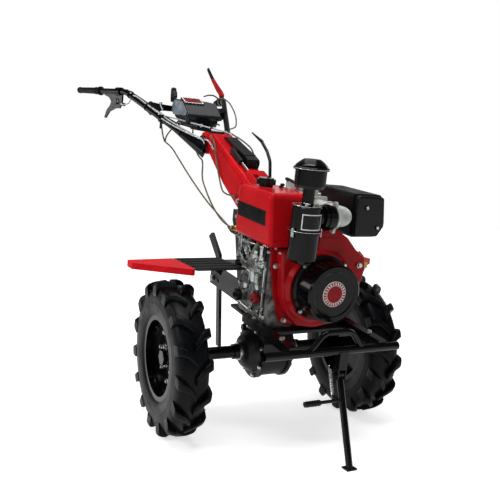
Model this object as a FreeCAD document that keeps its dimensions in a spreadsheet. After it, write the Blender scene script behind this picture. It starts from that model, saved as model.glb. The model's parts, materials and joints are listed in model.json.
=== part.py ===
"""Walk-behind diesel power weeder on two lug-tyred wheels, parked on its front stand.

Millimetres. +X is forward, +Y is the machine's left and +Z is up. The origin is on the floor,
under the middle of the parked machine. The machine parks nose down: everything that is fixed
to the gearbox is drawn level, with its origin at the middle of the axle, and is then placed
with one turn of park_pitch about the axle. The wheels and the stand have frames of their own.
"""
import FreeCAD, Part
import math
import os
import re

import Sketcher

Vector = FreeCAD.Vector
X_AXIS, Y_AXIS, Z_AXIS = Vector(1, 0, 0), Vector(0, 1, 0), Vector(0, 0, 1)

doc = FreeCAD.newDocument("power_weeder")

# ---------------------------------------------------------------- driving sizes

SIZES = {
    # stance
    "park_pitch": 9.5,           # degrees, nose down on the stand
    "axle_ahead": 427.35,        # the axle, ahead of the middle of the parked machine
    "fit_gap": 0.3,              # between faces that turn or slide on each other
    "track": 681,
    # wheels
    "wheel_radius": 246,         # to the tips of the lugs
    "lug_height": 16,
    "lug_width": 27,
    "lug_past_middle": 3,        # a lug starts on the far side of the tread's middle
    "lug_overhang": 1.5,         # past the sidewall
    "tyre_width": 105,
    "tyre_wall": 9,
    "bead_radius": 124,
    "rim_half_width": 44,
    "rim_sheet": 4,
    "rim_lip": 12,
    "dish_depth": 24,
    "sleeve_radius": 20.5,
    "shaft_radius": 12,
    "shaft_insert": 32,
    "hub_flange_radius": 46,
    "hub_nut_flats": 44,
    "hub_nut_length": 26,
    # gearbox and clutch housing
    "gear_half_width": 56,
    "drum_radius": 86,
    "drum_flange": 92,           # radius of the flanges beside the drum
    "drum_side_radius": 60,      # where it narrows towards the shafts
    "drum_half_width": 97,
    "seal_radius": 30,
    "seal_width": 10,
    "clutch_radius": 84,
    "gear_front": -60,           # flat front face that the clutch housing bolts to
    "gear_rear": -238,
    "gear_top": 440,
    # engine
    "crank_y": 26,
    "crank_z": 290,
    "block_length": 190,
    "block_right": 118,
    "block_left": 150,
    "block_bottom": 149,
    "block_top": 400,
    "block_foot": 8,             # the crankcase foot, past its walls
    "base_sheet": 9,
    "shroud_depth": 46,
    "shroud_flange": 9,          # the cowl's flat edge against the crankcase
    "scroll_depth": 14,          # the raised ring about the starter
    "scroll_radius": 112,
    "starter_radius": 87,
    "starter_depth": 80,
    "head_left": 112,
    "head_right": 4,
    "head_top": 538,
    "head_front": 122,
    "head_length": 148,
    "cover_height": 34,
    # tank, air filter, muffler
    "tank_rear": -12,
    "tank_length": 248,
    "tank_right": 151,
    "tank_left": 12,
    "tank_bottom": 404,
    "tank_height": 157,
    "tank_slope": 24,            # the front leans back by this much over its height
    "tank_corner": 20,
    "cap_radius": 30,
    "cap_height": 20,
    "cap_x": 50,
    "cap_y": -86,
    "cap_ribs": 16,
    "filter_x": 298,
    "filter_y": -80,
    "filter_radius": 42,
    "filter_bottom": 384,
    "filter_height": 160,
    "filter_neck": 17,
    "precleaner_radius": 44,
    "precleaner_bottom": 592,
    "precleaner_top": 668,
    "elbow_radius": 27,
    "elbow_z": 510,
    "muffler_rear": -90,
    "muffler_length": 242,
    "muffler_right": 190,
    "muffler_width": 122,
    "muffler_bottom": 417,
    "muffler_height": 142,
    "shield_depth": 24,          # the pressed cover on the silencer's front
    # front bumper and stand
    "bumper_x": 398,
    "bumper_z": 147,
    "bumper_radius": 12,
    "bumper_wall": 2.5,
    "bumper_length": 443,
    "rail_width": 26,
    "rail_height": 27,
    "rail_sheet": 5,
    "rail_start": 92,
    "hoop_radius": 8,
    "hoop_half_width": 88,
    "hoop_y": 7,
    "hoop_height": 56,
    "post_y": 28,
    "post_width": 28,
    "post_wall": 3.5,
    "post_bottom": 61,
    "post_open": 92,
    "stand_pivot_z": 76,
    "stand_eye_radius": 12,
    "stand_pin_radius": 5,
    "leg_radius": 10,
    "leg_forward": 63,           # the foot, ahead of the pivot, on the floor
    "foot_length": 30,
    "foot_width": 32,
    "foot_sheet": 5,
    "pedal_length": 112,
    "pedal_drop": 71,            # below the stand's pivot
    "spring_rise": 28,           # its upper hook, above the pivot
    "spring_out": 30,            # from the post's middle, towards the right
    "spring_radius": 5,
    # handle column and handlebars
    "column_half_width": 45,
    "cap_half_width": 48,
    "column_foot_front": -106,
    "cap_top": 684,
    "guard_half_width": 22,
    "guard_y": 17,
    "arm_radius": 12.5,
    "arm_wall": 2.5,
    "grip_radius": 14.5,
    "grip_length": 200,
    "grip_tip_x": -1480,
    "grip_tip_y": 360,
    "grip_tip_z": 803,
    "bend_x": -1095,
    "bend_y": 238,
    "bend_z": 813,
    "brace_x": -944,             # the cross brace behind the console
    "brace_sheet": 8,
    "console_x": -790,
    "console_width": 150,
    "console_y": -13,
    "console_rise": 16,          # its floor, above the cap's top
    "aux_lever_radius": 5.5,
    # platforms over the tyres
    "platform_z": 277,
    "platform_sheet": 4,
    "platform_front": 55,
    "platform_length": 220,
    "platform_rise": 18,         # the front edge, above the rear one
    "platform_lip": 16,          # turned down along the front and rear edges
    "platform_gap": 9,           # between the crankcase and a platform's inner edge
    "platform_outer": 294,
    "fender_outer": 455,
    # rear hitch and depth stake
    "hitch_half_width": 25,
    "hitch_rear": -466,
    "hitch_bottom": 104,
    "hitch_height": 56,
    "pin_radius": 8,
    "stake_width": 28,
    "stake_sheet": 12,
    # cables
    "cable_radius": 3,
}

sheet = doc.addObject("Spreadsheet::Sheet", "sizes")
for row, (alias, value) in enumerate(SIZES.items(), 1):
    sheet.set(f"A{row}", alias)
    sheet.set(f"B{row}", str(value))
    sheet.setAlias(f"B{row}", alias)
doc.recompute()


def size(alias):
    """A driving size as it stands in the sheet."""
    return float(getattr(sheet, alias))


ALIAS = re.compile(r"\b(" + "|".join(SIZES) + r")\b")


def bind(thing, **expressions):
    """Binds properties to expressions of the sheet's sizes; Base_x stands for Base.x."""
    for name, expression in expressions.items():
        text = ALIAS.sub(r"sizes.\1", str(expression))
        thing.setExpression(name.replace("_", "."), text)


# ---------------------------------------------------------------- tools for drawing

PLANES = {"XY": Z_AXIS, "XZ": Y_AXIS, "YZ": X_AXIS}
LEVELS = {"XY": "z", "XZ": "y", "YZ": "x"}
pieces = {}


def new_body(name):
    return doc.addObject("PartDesign::Body", name)


def sketch_on(body, plane, x=0, y=0, z=0):
    """A sketch on one of the body's own planes, with its own origin moved to x, y, z."""
    sketch = body.newObject("Sketcher::SketchObject", f"{body.Name}_sketch")
    support = [item for item in body.Origin.OriginFeatures if item.Role == f"{plane}_Plane"][0]
    sketch.AttachmentSupport = [(support, "")]
    sketch.MapMode = "FlatFace"
    across, up, out = {"XY": (x, y, z), "XZ": (x, z, f"-({y})"), "YZ": (y, z, x)}[plane]
    bind(sketch, AttachmentOffset_Base_x=across, AttachmentOffset_Base_y=up,
         AttachmentOffset_Base_z=out)
    return sketch


def draw_outline(sketch, points):
    """A closed outline of straight lines whose corners are held by their distances from 0."""
    count = len(points)
    first = sketch.GeometryCount
    for index in range(count):
        turn = [2 * math.pi * step / count for step in (index, index + 1)]
        ends = [Vector(math.cos(angle), math.sin(angle), 0) * 100 for angle in turn]
        sketch.addGeometry(Part.LineSegment(*ends), False)
    for index in range(count):
        line, following = first + index, first + (index + 1) % count
        sketch.addConstraint(Sketcher.Constraint("Coincident", line, 2, following, 1))
    for index, point in enumerate(points):
        for kind, place in zip(("DistanceX", "DistanceY"), point):
            number = sketch.addConstraint(Sketcher.Constraint(kind, -1, 1, first + index, 1, 1.0))
            text = ALIAS.sub(r"sizes.\1", str(place))
            sketch.setExpression(f"Constraints[{number}]", text)


def pad(body, sketch, length, plane):
    """Fills the sketch out towards the plus side of the plane's axis."""
    feature = body.newObject("PartDesign::Pad", f"{body.Name}_pad")
    feature.Profile = sketch
    feature.Reversed = plane == "XZ"
    bind(feature, Length=length)
    return feature


def slab(name, plane, low, high, points, corner=None, rim=None):
    """A body padded from level low to level high, with rounded corners and rim if asked."""
    body = new_body(name)
    sketch = sketch_on(body, plane, **{LEVELS[plane]: low})
    draw_outline(sketch, points)
    feature = pad(body, sketch, f"({high}) - ({low})", plane)
    if corner:
        feature = round_off(body, corner, lambda edge: runs_along(edge, PLANES[plane]))
    if rim:
        round_off(body, rim, lambda edge: not runs_along(edge, PLANES[plane]))
    return body


def plate(name, x, y, z, length, width, height):
    """A flat rectangular piece from its lowest corner."""
    corners = [(x, y), (f"{x} + {length}", y), (f"{x} + {length}", f"{y} + {width}"),
               (x, f"{y} + {width}")]
    return slab(name, "XY", z, f"{z} + {height}", corners)


def turned(name, plane, points, about="H_Axis", x=0, y=0, z=0):
    """A body turned about the sketch's own level or upright line, through x, y, z."""
    body = new_body(name)
    sketch = sketch_on(body, plane, x, y, z)
    draw_outline(sketch, points)
    feature = body.newObject("PartDesign::Revolution", f"{body.Name}_turn")
    feature.Profile = sketch
    feature.ReferenceAxis = (sketch, [about])
    feature.Angle = 360
    return body


def runs_along(edge, axis):
    """True for a straight edge along the axis."""
    straight = edge.Curve.TypeId == "Part::GeomLine"
    return straight and abs(edge.tangentAt(edge.FirstParameter).dot(axis)) > 0.999


def round_off(body, radius, chosen):
    """Rounds the chosen edges of what the body has so far."""
    doc.recompute()
    base = body.Tip
    names = [f"Edge{number}" for number, edge in enumerate(base.Shape.Edges, 1) if chosen(edge)]
    feature = body.newObject("PartDesign::Fillet", f"{body.Name}_round")
    feature.Base = (base, names)
    bind(feature, Radius=radius)
    return feature


def block(x, y, z, length, width, height):
    """A box from its lowest corner."""
    item = doc.addObject("Part::Box", "block")
    bind(item, Length=length, Width=width, Height=height)
    bind(item, Placement_Base_x=x, Placement_Base_y=y, Placement_Base_z=z)
    return item


TURNS = {"X": (Y_AXIS, 90), "Y": (X_AXIS, -90), "Z": (Z_AXIS, 0)}


def rod(axis, radius, length, x, y, z):
    """A round bar from a point on its axis towards the plus side."""
    item = doc.addObject("Part::Cylinder", "rod")
    item.Placement = FreeCAD.Placement(Vector(), FreeCAD.Rotation(*TURNS[axis]))
    bind(item, Radius=radius, Height=length)
    bind(item, Placement_Base_x=x, Placement_Base_y=y, Placement_Base_z=z)
    return item


def hexagon(axis, flats, length, x, y, z):
    """A six-sided bar from a point on its axis towards the plus side."""
    item = doc.addObject("Part::Prism", "hexagon")
    item.Polygon = 6
    item.Placement = FreeCAD.Placement(Vector(), FreeCAD.Rotation(*TURNS[axis]))
    bind(item, Circumradius=f"({flats}) / sqrt(3)", Height=length)
    bind(item, Placement_Base_x=x, Placement_Base_y=y, Placement_Base_z=z)
    return item


def join(name, items):
    feature = doc.addObject("Part::MultiFuse", name)
    feature.Shapes = items
    return feature


def take_away(name, base, tool):
    feature = doc.addObject("Part::Cut", name)
    feature.Base = base
    feature.Tool = tool
    return feature


def bent_wire(points, radius):
    """Straight runs through the points, joined by tangent arcs of one radius."""
    edges = []
    start = points[0]
    for before, corner, after in zip(points, points[1:], points[2:]):
        back = Vector(before - corner).normalize()
        ahead = Vector(after - corner).normalize()
        half_turn = (math.pi - back.getAngle(ahead)) / 2
        first = corner + back * (radius * math.tan(half_turn))
        last = corner + ahead * (radius * math.tan(half_turn))
        inward = Vector(back + ahead).normalize()
        middle = corner + inward * (radius / math.cos(half_turn) - radius)
        edges.append(Part.LineSegment(start, first).toShape())
        edges.append(Part.Arc(first, middle, last).toShape())
        start = last
    edges.append(Part.LineSegment(start, points[-1]).toShape())
    return Part.Wire(edges)


def swept(path, radius):
    """A round bar along a wire."""
    start = path.Edges[0]
    origin = start.valueAt(start.FirstParameter)
    ring = Part.Circle(origin, start.tangentAt(start.FirstParameter), radius).toShape()
    return path.makePipeShell([Part.Wire(ring)], True, False)


def cable(points, radius):
    """A held cable; each bend is as large as its two runs leave room for."""
    edges = []
    start = points[0]
    for before, corner, after in zip(points, points[1:], points[2:]):
        back, ahead = Vector(before - corner), Vector(after - corner)
        reach = 0.45 * min(back.Length, ahead.Length)
        back.normalize()
        ahead.normalize()
        half_turn = (math.pi - back.getAngle(ahead)) / 2
        bend = reach / math.tan(half_turn)
        inward = Vector(back + ahead).normalize()
        middle = corner + inward * (bend / math.cos(half_turn) - bend)
        first, last = corner + back * reach, corner + ahead * reach
        edges.append(Part.LineSegment(start, first).toShape())
        edges.append(Part.Arc(first, middle, last).toShape())
        start = last
    edges.append(Part.LineSegment(start, points[-1]).toShape())
    return swept(Part.Wire(edges), radius)


def shaped(name, shape):
    """A feature whose shape is worked out here, because its path leaves every plane."""
    item = doc.addObject("Part::Feature", name)
    item.Shape = shape
    return item


def keep(name, item):
    """Names a finished sub-part; its Label is its node's name."""
    item.Label = name
    pieces[name] = item
    return item


def on_machine(name, item):
    """Places a level sub-part on the parked, nose-down machine."""
    item.Placement = FreeCAD.Placement(Vector(), FreeCAD.Rotation(Y_AXIS, 5))
    bind(item, Placement_Rotation_Angle="park_pitch", Placement_Base_x="axle_ahead",
         Placement_Base_z="wheel_radius")
    return keep(name, item)


def on_wheel(name, item, side):
    """Places a sub-part on the axle; its own +Y points away from the machine."""
    if side < 0:
        item.Placement = FreeCAD.Placement(Vector(), FreeCAD.Rotation(Z_AXIS, 180))
    bind(item, Placement_Base_x="axle_ahead", Placement_Base_y=f"{side} * track / 2",
         Placement_Base_z="wheel_radius")
    return keep(name, item)


SIDES = {"right": -1, "left": 1}

# ---------------------------------------------------------------- wheels


LUGS = 15           # bars on each half of a tread
STEPS = 2 * LUGS    # flat steps round a carcass, so that each end of a bar has its own step
STEP = math.pi / LUGS


def solid_of(faces):
    """The solid that flat faces close."""
    solid = Part.makeSolid(Part.makeShell(faces))
    if solid.Volume < 0:
        solid.reverse()
    return solid


def flat(*points):
    return Part.Face(Part.makePolygon(list(points) + [points[0]]))


def round_axle(across, radius, turn):
    """The point at a turn from straight down towards the front."""
    return Vector(radius * math.sin(turn), across, -radius * math.cos(turn))


def carcass():
    """The tyre's hollow body: its section carried round the axle in flat steps."""
    half, wall = size("tyre_width") / 2, size("tyre_wall")
    tread = size("wheel_radius") - size("lug_height")
    bead = size("rim_half_width") - size("rim_sheet")
    seat = (size("bead_radius") + 0.1) / math.cos(STEP / 2)
    lip = (size("bead_radius") + size("rim_lip") + size("fit_gap")) / math.cos(STEP / 2)
    outside = [(bead, seat), (bead, lip), (half, lip + 22), (half, tread - 34),
               (half - 9, tread - 8), (half - 26, tread)]
    inside = [(half - 28, tread - wall - 6), (half - wall, (lip + tread) / 2),
              (bead - 1.5 * wall, seat)]
    section = [(-y, r) for y, r in outside] + [(y, r) for y, r in reversed(outside)]
    section += [(y, r) for y, r in reversed(inside)] + [(-y, r) for y, r in inside]
    rings = [[round_axle(y, r, STEP * step) for y, r in section] for step in range(STEPS)]
    faces = []
    for near, far in zip(rings, rings[1:] + rings[:1]):
        for here, there in zip(range(len(section)), list(range(1, len(section))) + [0]):
            faces.append(flat(near[here], near[there], far[there], far[here]))
    return solid_of(faces)


def lug(half_of_tread, turn, way):
    """One slanted bar, from the tread's middle out and down over the shoulder."""
    half, tread = size("tyre_width") / 2, size("wheel_radius") - size("lug_height")
    spread = size("lug_width") / 2 / size("wheel_radius")
    tip = size("wheel_radius") / math.cos(spread)
    first, shoulder = -size("lug_past_middle"), half - 6
    side = half + size("lug_overhang")
    section = [(first, tread - 5), (first, tip), (shoulder, tip), (side, tip - 12),
               (side, tread - 30), (half - 5, tread - 38), (half - 12, tread - 12),
               (half - 30, tread - 5)]
    edges = []
    for lean in (-spread, spread):
        points = []
        for across, radius in section:
            share = min((across - first) / (shoulder - first), 1)
            angle = turn + way * (STEP * share + lean)
            points.append(round_axle(half_of_tread * across, radius, angle))
        edges.append(points)
    near, far = edges
    faces = []
    for a, b, c in ((0, 1, 7), (1, 2, 7), (7, 2, 6), (6, 2, 3), (6, 3, 4), (6, 4, 5)):
        faces += [flat(near[a], near[b], near[c]), flat(far[a], far[c], far[b])]
    for here, there in zip(range(8), [1, 2, 3, 4, 5, 6, 7, 0]):
        faces += [flat(near[here], far[here], near[there]),
                  flat(near[there], far[here], far[there])]
    return solid_of(faces)


def tyre(name, way):
    """A carcass with a bar at each step, from one half of the tread and then the other."""
    bars = []
    for number in range(LUGS):
        bars.append(lug(1, 2 * number * STEP, way))
        bars.append(lug(-1, (2 * number + 1) * STEP, way))
    return shaped(name, carcass().fuse(bars))


def rim(name):
    """A pressed drop-centre rim with its dished disc."""
    half, lip = "rim_half_width", "bead_radius + rim_lip"
    inner = "bead_radius - rim_sheet"
    outline = [(f"-({half})", inner), (f"-({half})", lip), (f"-({half}) + rim_sheet", lip),
               (f"-({half}) + rim_sheet", "bead_radius"), (f"{half} - rim_sheet", "bead_radius"),
               (f"{half} - rim_sheet", lip), (half, lip), (half, inner),
               ("rim_sheet + 8", inner), ("rim_sheet", "bead_radius - 26"),
               ("rim_sheet - dish_depth / 4", "sleeve_radius"),
               ("0 - dish_depth / 4", "sleeve_radius"), ("0", "bead_radius - 24"),
               ("4", inner)]
    return turned(name, "YZ", outline)


def axle_sleeve(name):
    """The hub: a sleeve from the gearbox to the disc, its flange, its nut and its shaft."""
    reach = "track / 2 - drum_half_width - seal_width - fit_gap"
    sleeve = rod("Y", "sleeve_radius", f"{reach} + 4", 0, f"-({reach})", 0)
    shaft = rod("Y", "shaft_radius", "shaft_insert + 10", 0, f"-({reach}) - shaft_insert", 0)
    flange_top = "0 - dish_depth / 4"
    flange = rod("Y", "hub_flange_radius", 6, 0, f"{flange_top} - 6 - 0.5", 0)
    nut = hexagon("Y", "hub_nut_flats", "hub_nut_length", 0, 4, 0)
    collar = rod("Y", "sleeve_radius + 5", 16, 0, f"-({reach})", 0)
    cross_pin = rod("Z", 5, "2 * sleeve_radius + 18", 0, f"-({reach}) * 0.42",
                    "-sleeve_radius - 9")
    return join(name, [sleeve, shaft, flange, nut, collar, cross_pin])


for side_name, side in SIDES.items():
    on_wheel(f"tyre_{side_name}", tyre(f"tyre_{side_name}_body", side), side)
    on_wheel(f"rim_{side_name}", rim(f"rim_{side_name}_body"), side)
    on_wheel(f"axle_sleeve_{side_name}", axle_sleeve(f"axle_sleeve_{side_name}_body"), side)

# ---------------------------------------------------------------- gearbox


BACK_FOOT = ("(-drum_radius + 26)", "(drum_radius + 10)")
BACK_TOP = ("(gear_rear + 86)", "(crank_z - 96)")


def gearbox_housing():
    """An upright casting over the stepped final-drive drum about the axle."""
    foot = "block_bottom - base_sheet"
    upright = slab("gearbox_upright", "XZ", "-gear_half_width", "gear_half_width",
                   [("drum_radius + 9", 0), ("drum_radius + 4", 52), ("drum_radius - 44", foot),
                    ("gear_front", foot), ("gear_front", "crank_z + 96"),
                    ("gear_front - 40", "gear_top"), ("gear_rear", "gear_top"),
                    ("gear_rear", "gear_top - 40"), ("gear_rear + 36", "gear_top - 94"),
                    BACK_TOP, BACK_FOOT, ("-drum_radius + 6", 40)], corner=6)
    width, side = "drum_half_width", "drum_side_radius"
    half = [(f"{width}", 0), (f"{width}", "seal_radius + 8"), (f"{width} - 9", f"{side} - 8"),
            (f"{width} - 26", f"{side} + 4"),
            (54, f"{side} + 12"), (54, "drum_flange"), (42, "drum_flange"), (42, "drum_radius")]
    section = half + [(f"-({across})", radius) for across, radius in reversed(half)]
    drum = turned("gearbox_drum", "YZ", section)
    bore = rod("Y", "shaft_radius + fit_gap", "2 * drum_half_width + 20", 0,
               "-drum_half_width - 10", 0)
    housing = join("gearbox_solid", [upright, drum])
    return take_away("gearbox_bored", housing, bore)


def gearbox_back(height):
    """How far ahead the upright's sloping back face is at a height."""
    (foot, low), (top, high) = BACK_FOOT, BACK_TOP
    return f"{foot} + ({top} - {foot}) * ({height} - {low}) / ({high} - {low})"


def seal_rings():
    """The two bright seal carriers where the shafts leave the drum."""
    rings = []
    for side in SIDES.values():
        inner = "drum_half_width" if side > 0 else "-drum_half_width - seal_width"
        disc = rod("Y", "seal_radius", "seal_width", 0, inner, 0)
        hole = rod("Y", "shaft_radius + fit_gap", "seal_width + 10", 0, f"{inner} - 5", 0)
        rings.append(take_away("seal_ring", disc, hole))
    return join("seal_rings_solid", rings)


def clutch_housing():
    """A round bell between the gearbox and the engine, on the crankshaft's line."""
    return rod("X", "clutch_radius", "-gear_front", "gear_front", "crank_y", "crank_z")


on_machine("gearbox_housing", gearbox_housing())
on_machine("seal_rings", seal_rings())
on_machine("clutch_housing", join("clutch_housing_body", [clutch_housing(), rod(
    "X", "clutch_radius + 10", 12, -12, "crank_y", "crank_z")]))

# ---------------------------------------------------------------- engine


def crankcase():
    """The cast block: sump foot, sloping left shoulder, and the right side's covers and ribs."""
    outline = [("-block_right", "block_bottom"), ("block_left", "block_bottom"),
               ("block_left", "block_top - 70"), ("block_left - 40", "block_top"),
               ("-block_right", "block_top")]
    body = slab("crankcase_block", "YZ", 0, "block_length", outline, corner=10)
    ledge = "(block_bottom - base_sheet + rail_height)"
    foot = slab("crankcase_foot", "XY", ledge, f"{ledge} + 12",
                [(2, "-block_right - block_foot"), ("block_length - 2", "-block_right - block_foot"),
                 ("block_length - 2", "block_left + block_foot"),
                 (2, "block_left + block_foot")], corner=12)
    cover = slab("crankcase_cover", "XZ", "-block_right - 8", "-block_right + 1",
                 [(18, "block_bottom + 36"), (104, "block_bottom + 28"),
                  (114, "block_bottom + 90"), (94, "block_bottom + 144"),
                  (30, "block_bottom + 152"), (10, "block_bottom + 96")], corner=14)
    filler = rod("Y", 19, 24, 52, "-block_right - 24", "block_bottom + 66")
    drain = rod("Y", 11, 20, 132, "-block_right - 12", "block_bottom + 30")
    flange = slab("crankcase_flange", "XZ", "-block_right - 6", "-block_right + 1",
                  [("block_length - 22", ledge), ("block_length", ledge),
                   ("block_length", "block_top"), ("block_length - 22", "block_top")])
    ribs = [block(ahead, "-block_right - 5", f"block_bottom + {low}", 5, 6, high - low)
            for ahead, low, high in ((8, 160, 240), (34, 164, 240), (130, 60, 126),
                                     (150, 60, 126))]
    return join("crankcase_body", [body, foot, cover, filler, drain, flange] + ribs)


def cylinder_head():
    """The finned barrel and head above the crankcase, with its intake port."""
    left, right, rear = "head_left", "head_right", "head_front - head_length"
    barrel = block(f"{rear} + 8", f"{right} + 8", "block_top", "head_length - 16",
                   f"{left} - {right} - 16", "head_top - block_top")
    port = block("head_front - 16", f"{right} + 24", "elbow_z - 30", 16, 64,
                 "head_top - elbow_z + 30")
    fins = []
    for number in range(6):
        fins.append(block(rear, right, f"block_top + 14 + {number} * 20", "head_length",
                          f"{left} - {right}", 6))
    return join("cylinder_head_body", [barrel, port] + fins)


def rocker_cover():
    """The cast lid over the rockers, with its flange."""
    rear, front = "head_front - head_length + 2", "head_front - 14"
    right, left = "head_right + 4", "head_left - 22"
    outline = [(rear, right), (front, right), (front, left), (rear, left)]
    lid = slab("rocker_lid", "XY", "head_top + 6", "head_top + cover_height",
               [(f"{rear} + 6", f"{right} + 6"), (f"{front} - 6", f"{right} + 6"),
                (f"{front} - 6", f"{left} - 6"), (f"{rear} + 6", f"{left} - 6")], corner=18)
    round_off(lid, 6, lambda edge: edge.BoundBox.ZMin > lid.Shape.BoundBox.ZMax - 0.1)
    flange = slab("rocker_flange", "XY", "head_top", "head_top + 7", outline, corner=16)
    return join("rocker_cover_body", [lid, flange])


SHROUD_BOLTS = (("block_length + shroud_flange", -107, 346),
                ("block_length + shroud_flange", -62, 176),
                ("block_length + shroud_depth", 150, 222),
                ("block_length + shroud_depth", 164, 352))


def flywheel_shroud():
    """The red fan housing: flat flange, pressed body, ring round the starter, panel, bosses."""
    notch = "tank_bottom - 3"
    over = [("-tank_left + 4", notch), ("-tank_left + 14", 458), (74, 462), (116, 436),
            (150, 400), (186, 374), (192, 336), (177, 276), (140, 190), (100, 168)]
    flange = slab("shroud_flange_sheet", "YZ", "block_length", "block_length + shroud_flange",
                  over + [(22, 156), (-52, 158), (-74, 166), (-104, 262), (-120, 356),
                          (-122, notch)], corner=7)
    front = "block_length + shroud_depth"
    body = slab("shroud_body", "YZ", "block_length + shroud_flange - 1", front,
                over + [(30, 157), (-30, 166), (-70, 208), (-92, 262), (-104, 352),
                        (-106, notch)], corner=9)
    doc.recompute()
    face = body.Shape.BoundBox.XMax - 0.1
    round_off(body, 7, lambda edge: edge.BoundBox.XMin > face)
    ring = turned("shroud_scroll", "XZ",
                  [(-6, 0), (-6, "scroll_radius + 6"), ("scroll_depth * 0.3", "scroll_radius + 2"),
                   ("scroll_depth", "scroll_radius - 8"), ("scroll_depth", 0)],
                  x=front, y="crank_y", z="crank_z")
    panel = slab("shroud_panel", "YZ", f"{front} - 4", f"{front} + 5",
                 [(8, 396), (98, 396), (92, 436), (12, 440)], corner=8)
    bosses = [rod("X", 10, 8, f"{base} - 4", across, up) for base, across, up in SHROUD_BOLTS]
    return join("shroud_solid", [flange, body, ring, panel] + bosses)


STARTER_SLOTS = 11


def recoil_starter():
    """The round black starter: a base ring with lugs, and a cup slotted over its top."""
    cup, ring, depth = "starter_radius", "starter_radius + 12", "starter_depth"
    front = "block_length + shroud_depth + scroll_depth"
    outline = [(0, 0), (f"{depth} - 2", 0), (f"{depth} - 2", f"{cup} - 22"),
               (depth, f"{cup} - 18"), (depth, f"{cup} - 5"), (f"{depth} - 5", cup),
               (14, f"{cup} + 3"), (12, ring), (0, ring)]
    body = turned("starter_body", "XZ", outline, x=front, y="crank_y", z="crank_z")
    middle = Vector(size("block_length") + size("shroud_depth") + size("scroll_depth") + 22,
                    size("crank_y"), size("crank_z"))
    cuts, lugs = [], []
    for number in range(STARTER_SLOTS):
        slot = Part.makeBox(size("starter_depth") - 34, 4, 9)
        slot.translate(Vector(0, -2, size("starter_radius") - 6))
        slot.rotate(Vector(), X_AXIS, (number - (STARTER_SLOTS - 1) / 2) * 12)
        slot.translate(middle)
        cuts.append(slot)
    for turn in (45, 135, 225, 315):
        way = Vector(0, math.cos(math.radians(turn)), math.sin(math.radians(turn)))
        place = way * (size("starter_radius") + 10)
        lugs.append(rod("X", 9, 12, front, f"crank_y + {place.y}", f"crank_z + {place.z}"))
    slots = shaped("starter_slots", Part.makeCompound(cuts))
    return take_away("starter_slotted", join("starter_whole", [body] + lugs), slots)


def injection_pump():
    """The fuel injection pump on the crankcase's right side: flange, barrel and union."""
    out = "-block_right - 14"
    flange = block(92, out, "block_top - 100", 60, 14, 22)
    housing = block(100, f"{out} - 14", "block_top - 92", 42, 28, 44)
    barrel = rod("Z", 13, 20, 121, f"{out} - 2", "block_top - 56")
    union = hexagon("Z", 17, 12, 121, f"{out} - 2", "block_top - 38")
    plunger = rod("Z", 15, 30, 121, f"{out} - 2", "block_top - 120")
    return join("injection_pump_body", [flange, housing, barrel, union, plunger])


def governor_lever():
    """The bent lever that the throttle rod pulls, on its shaft beside the pump."""
    out = "-block_right - 8"
    shaft = rod("Y", 6, 14, 60, f"{out} - 6", "block_top - 60")
    arm = slab("governor_arm", "XZ", f"{out} - 6", f"{out} - 2",
               [(52, "block_top - 68"), (70, "block_top - 66"), (66, "block_top - 20"),
                (30, "block_top - 8"), (26, "block_top - 18"), (52, "block_top - 30")], corner=3)
    link = rod("X", 2.5, 64, 32, f"{out} - 9", "block_top - 15")
    eye = rod("Y", 5, 12, 33, f"{out} - 12", "block_top - 15")
    return join("governor_lever_body", [shaft, arm, link, eye])


def fuel_lines():
    """The tank's hose down to the pump, and the steel pipe from the pump round to the head."""
    side, top, gap = size("block_right"), size("block_top"), size("fit_gap")
    hose = cable([Vector(12, -side - 15, size("tank_bottom") - gap), Vector(12, -side - 15, top - 48),
                  Vector(52, -side - 22, top - 76), Vector(99, -side - 20, top - 70)], 4.5)
    union = Vector(121, -side - 16, top - 26 + gap)
    behind, fin = size("tank_rear") - 9, top + 117
    pipe = cable([union, Vector(121, -side - 16, top - 8), Vector(96, -side - 30, top - 6),
                  Vector(behind, -side - 30, top - 6), Vector(behind, -60, top + 20),
                  Vector(behind, -22, fin), Vector(behind, size("head_right") - gap, fin)], 2.5)
    return hose, pipe


on_machine("crankcase", crankcase())
on_machine("injection_pump", injection_pump())
on_machine("governor_lever", governor_lever())
on_machine("cylinder_head", cylinder_head())
on_machine("rocker_cover", rocker_cover())
on_machine("flywheel_shroud", flywheel_shroud())
on_machine("recoil_starter", recoil_starter())

# ---------------------------------------------------------------- tank, filter, exhaust


def fuel_tank():
    """The rounded tank along the right of the engine's top, on two feet and a strap."""
    right, left, top = "-tank_right", "-tank_left", "tank_bottom + tank_height"
    front = "tank_rear + tank_length"
    outline = [("tank_rear", "tank_bottom"), (front, "tank_bottom"),
               (f"{front} - tank_slope", top), ("tank_rear + 4", top)]
    shell = slab("tank_shell", "XZ", right, left, outline, corner="tank_corner",
                 rim="tank_corner * 0.6")
    seam = slab("tank_seam", "XZ", "-(tank_right + tank_left) / 2 - 2",
                "-(tank_right + tank_left) / 2 + 2",
                [("tank_rear - 2", "tank_bottom + 20"), (f"{front} + 1", "tank_bottom + 20"),
                 (f"{front} - tank_slope + 6", f"{top} - 20"), ("tank_rear + 2", f"{top} - 20")],
                corner=6)
    feet = [block(f"tank_rear + {ahead}", f"{right} + 45", "block_top", 30, 70,
                  "tank_bottom - block_top + 2") for ahead in (44, 154)]
    return join("tank_solid", [shell, seam] + feet)


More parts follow.
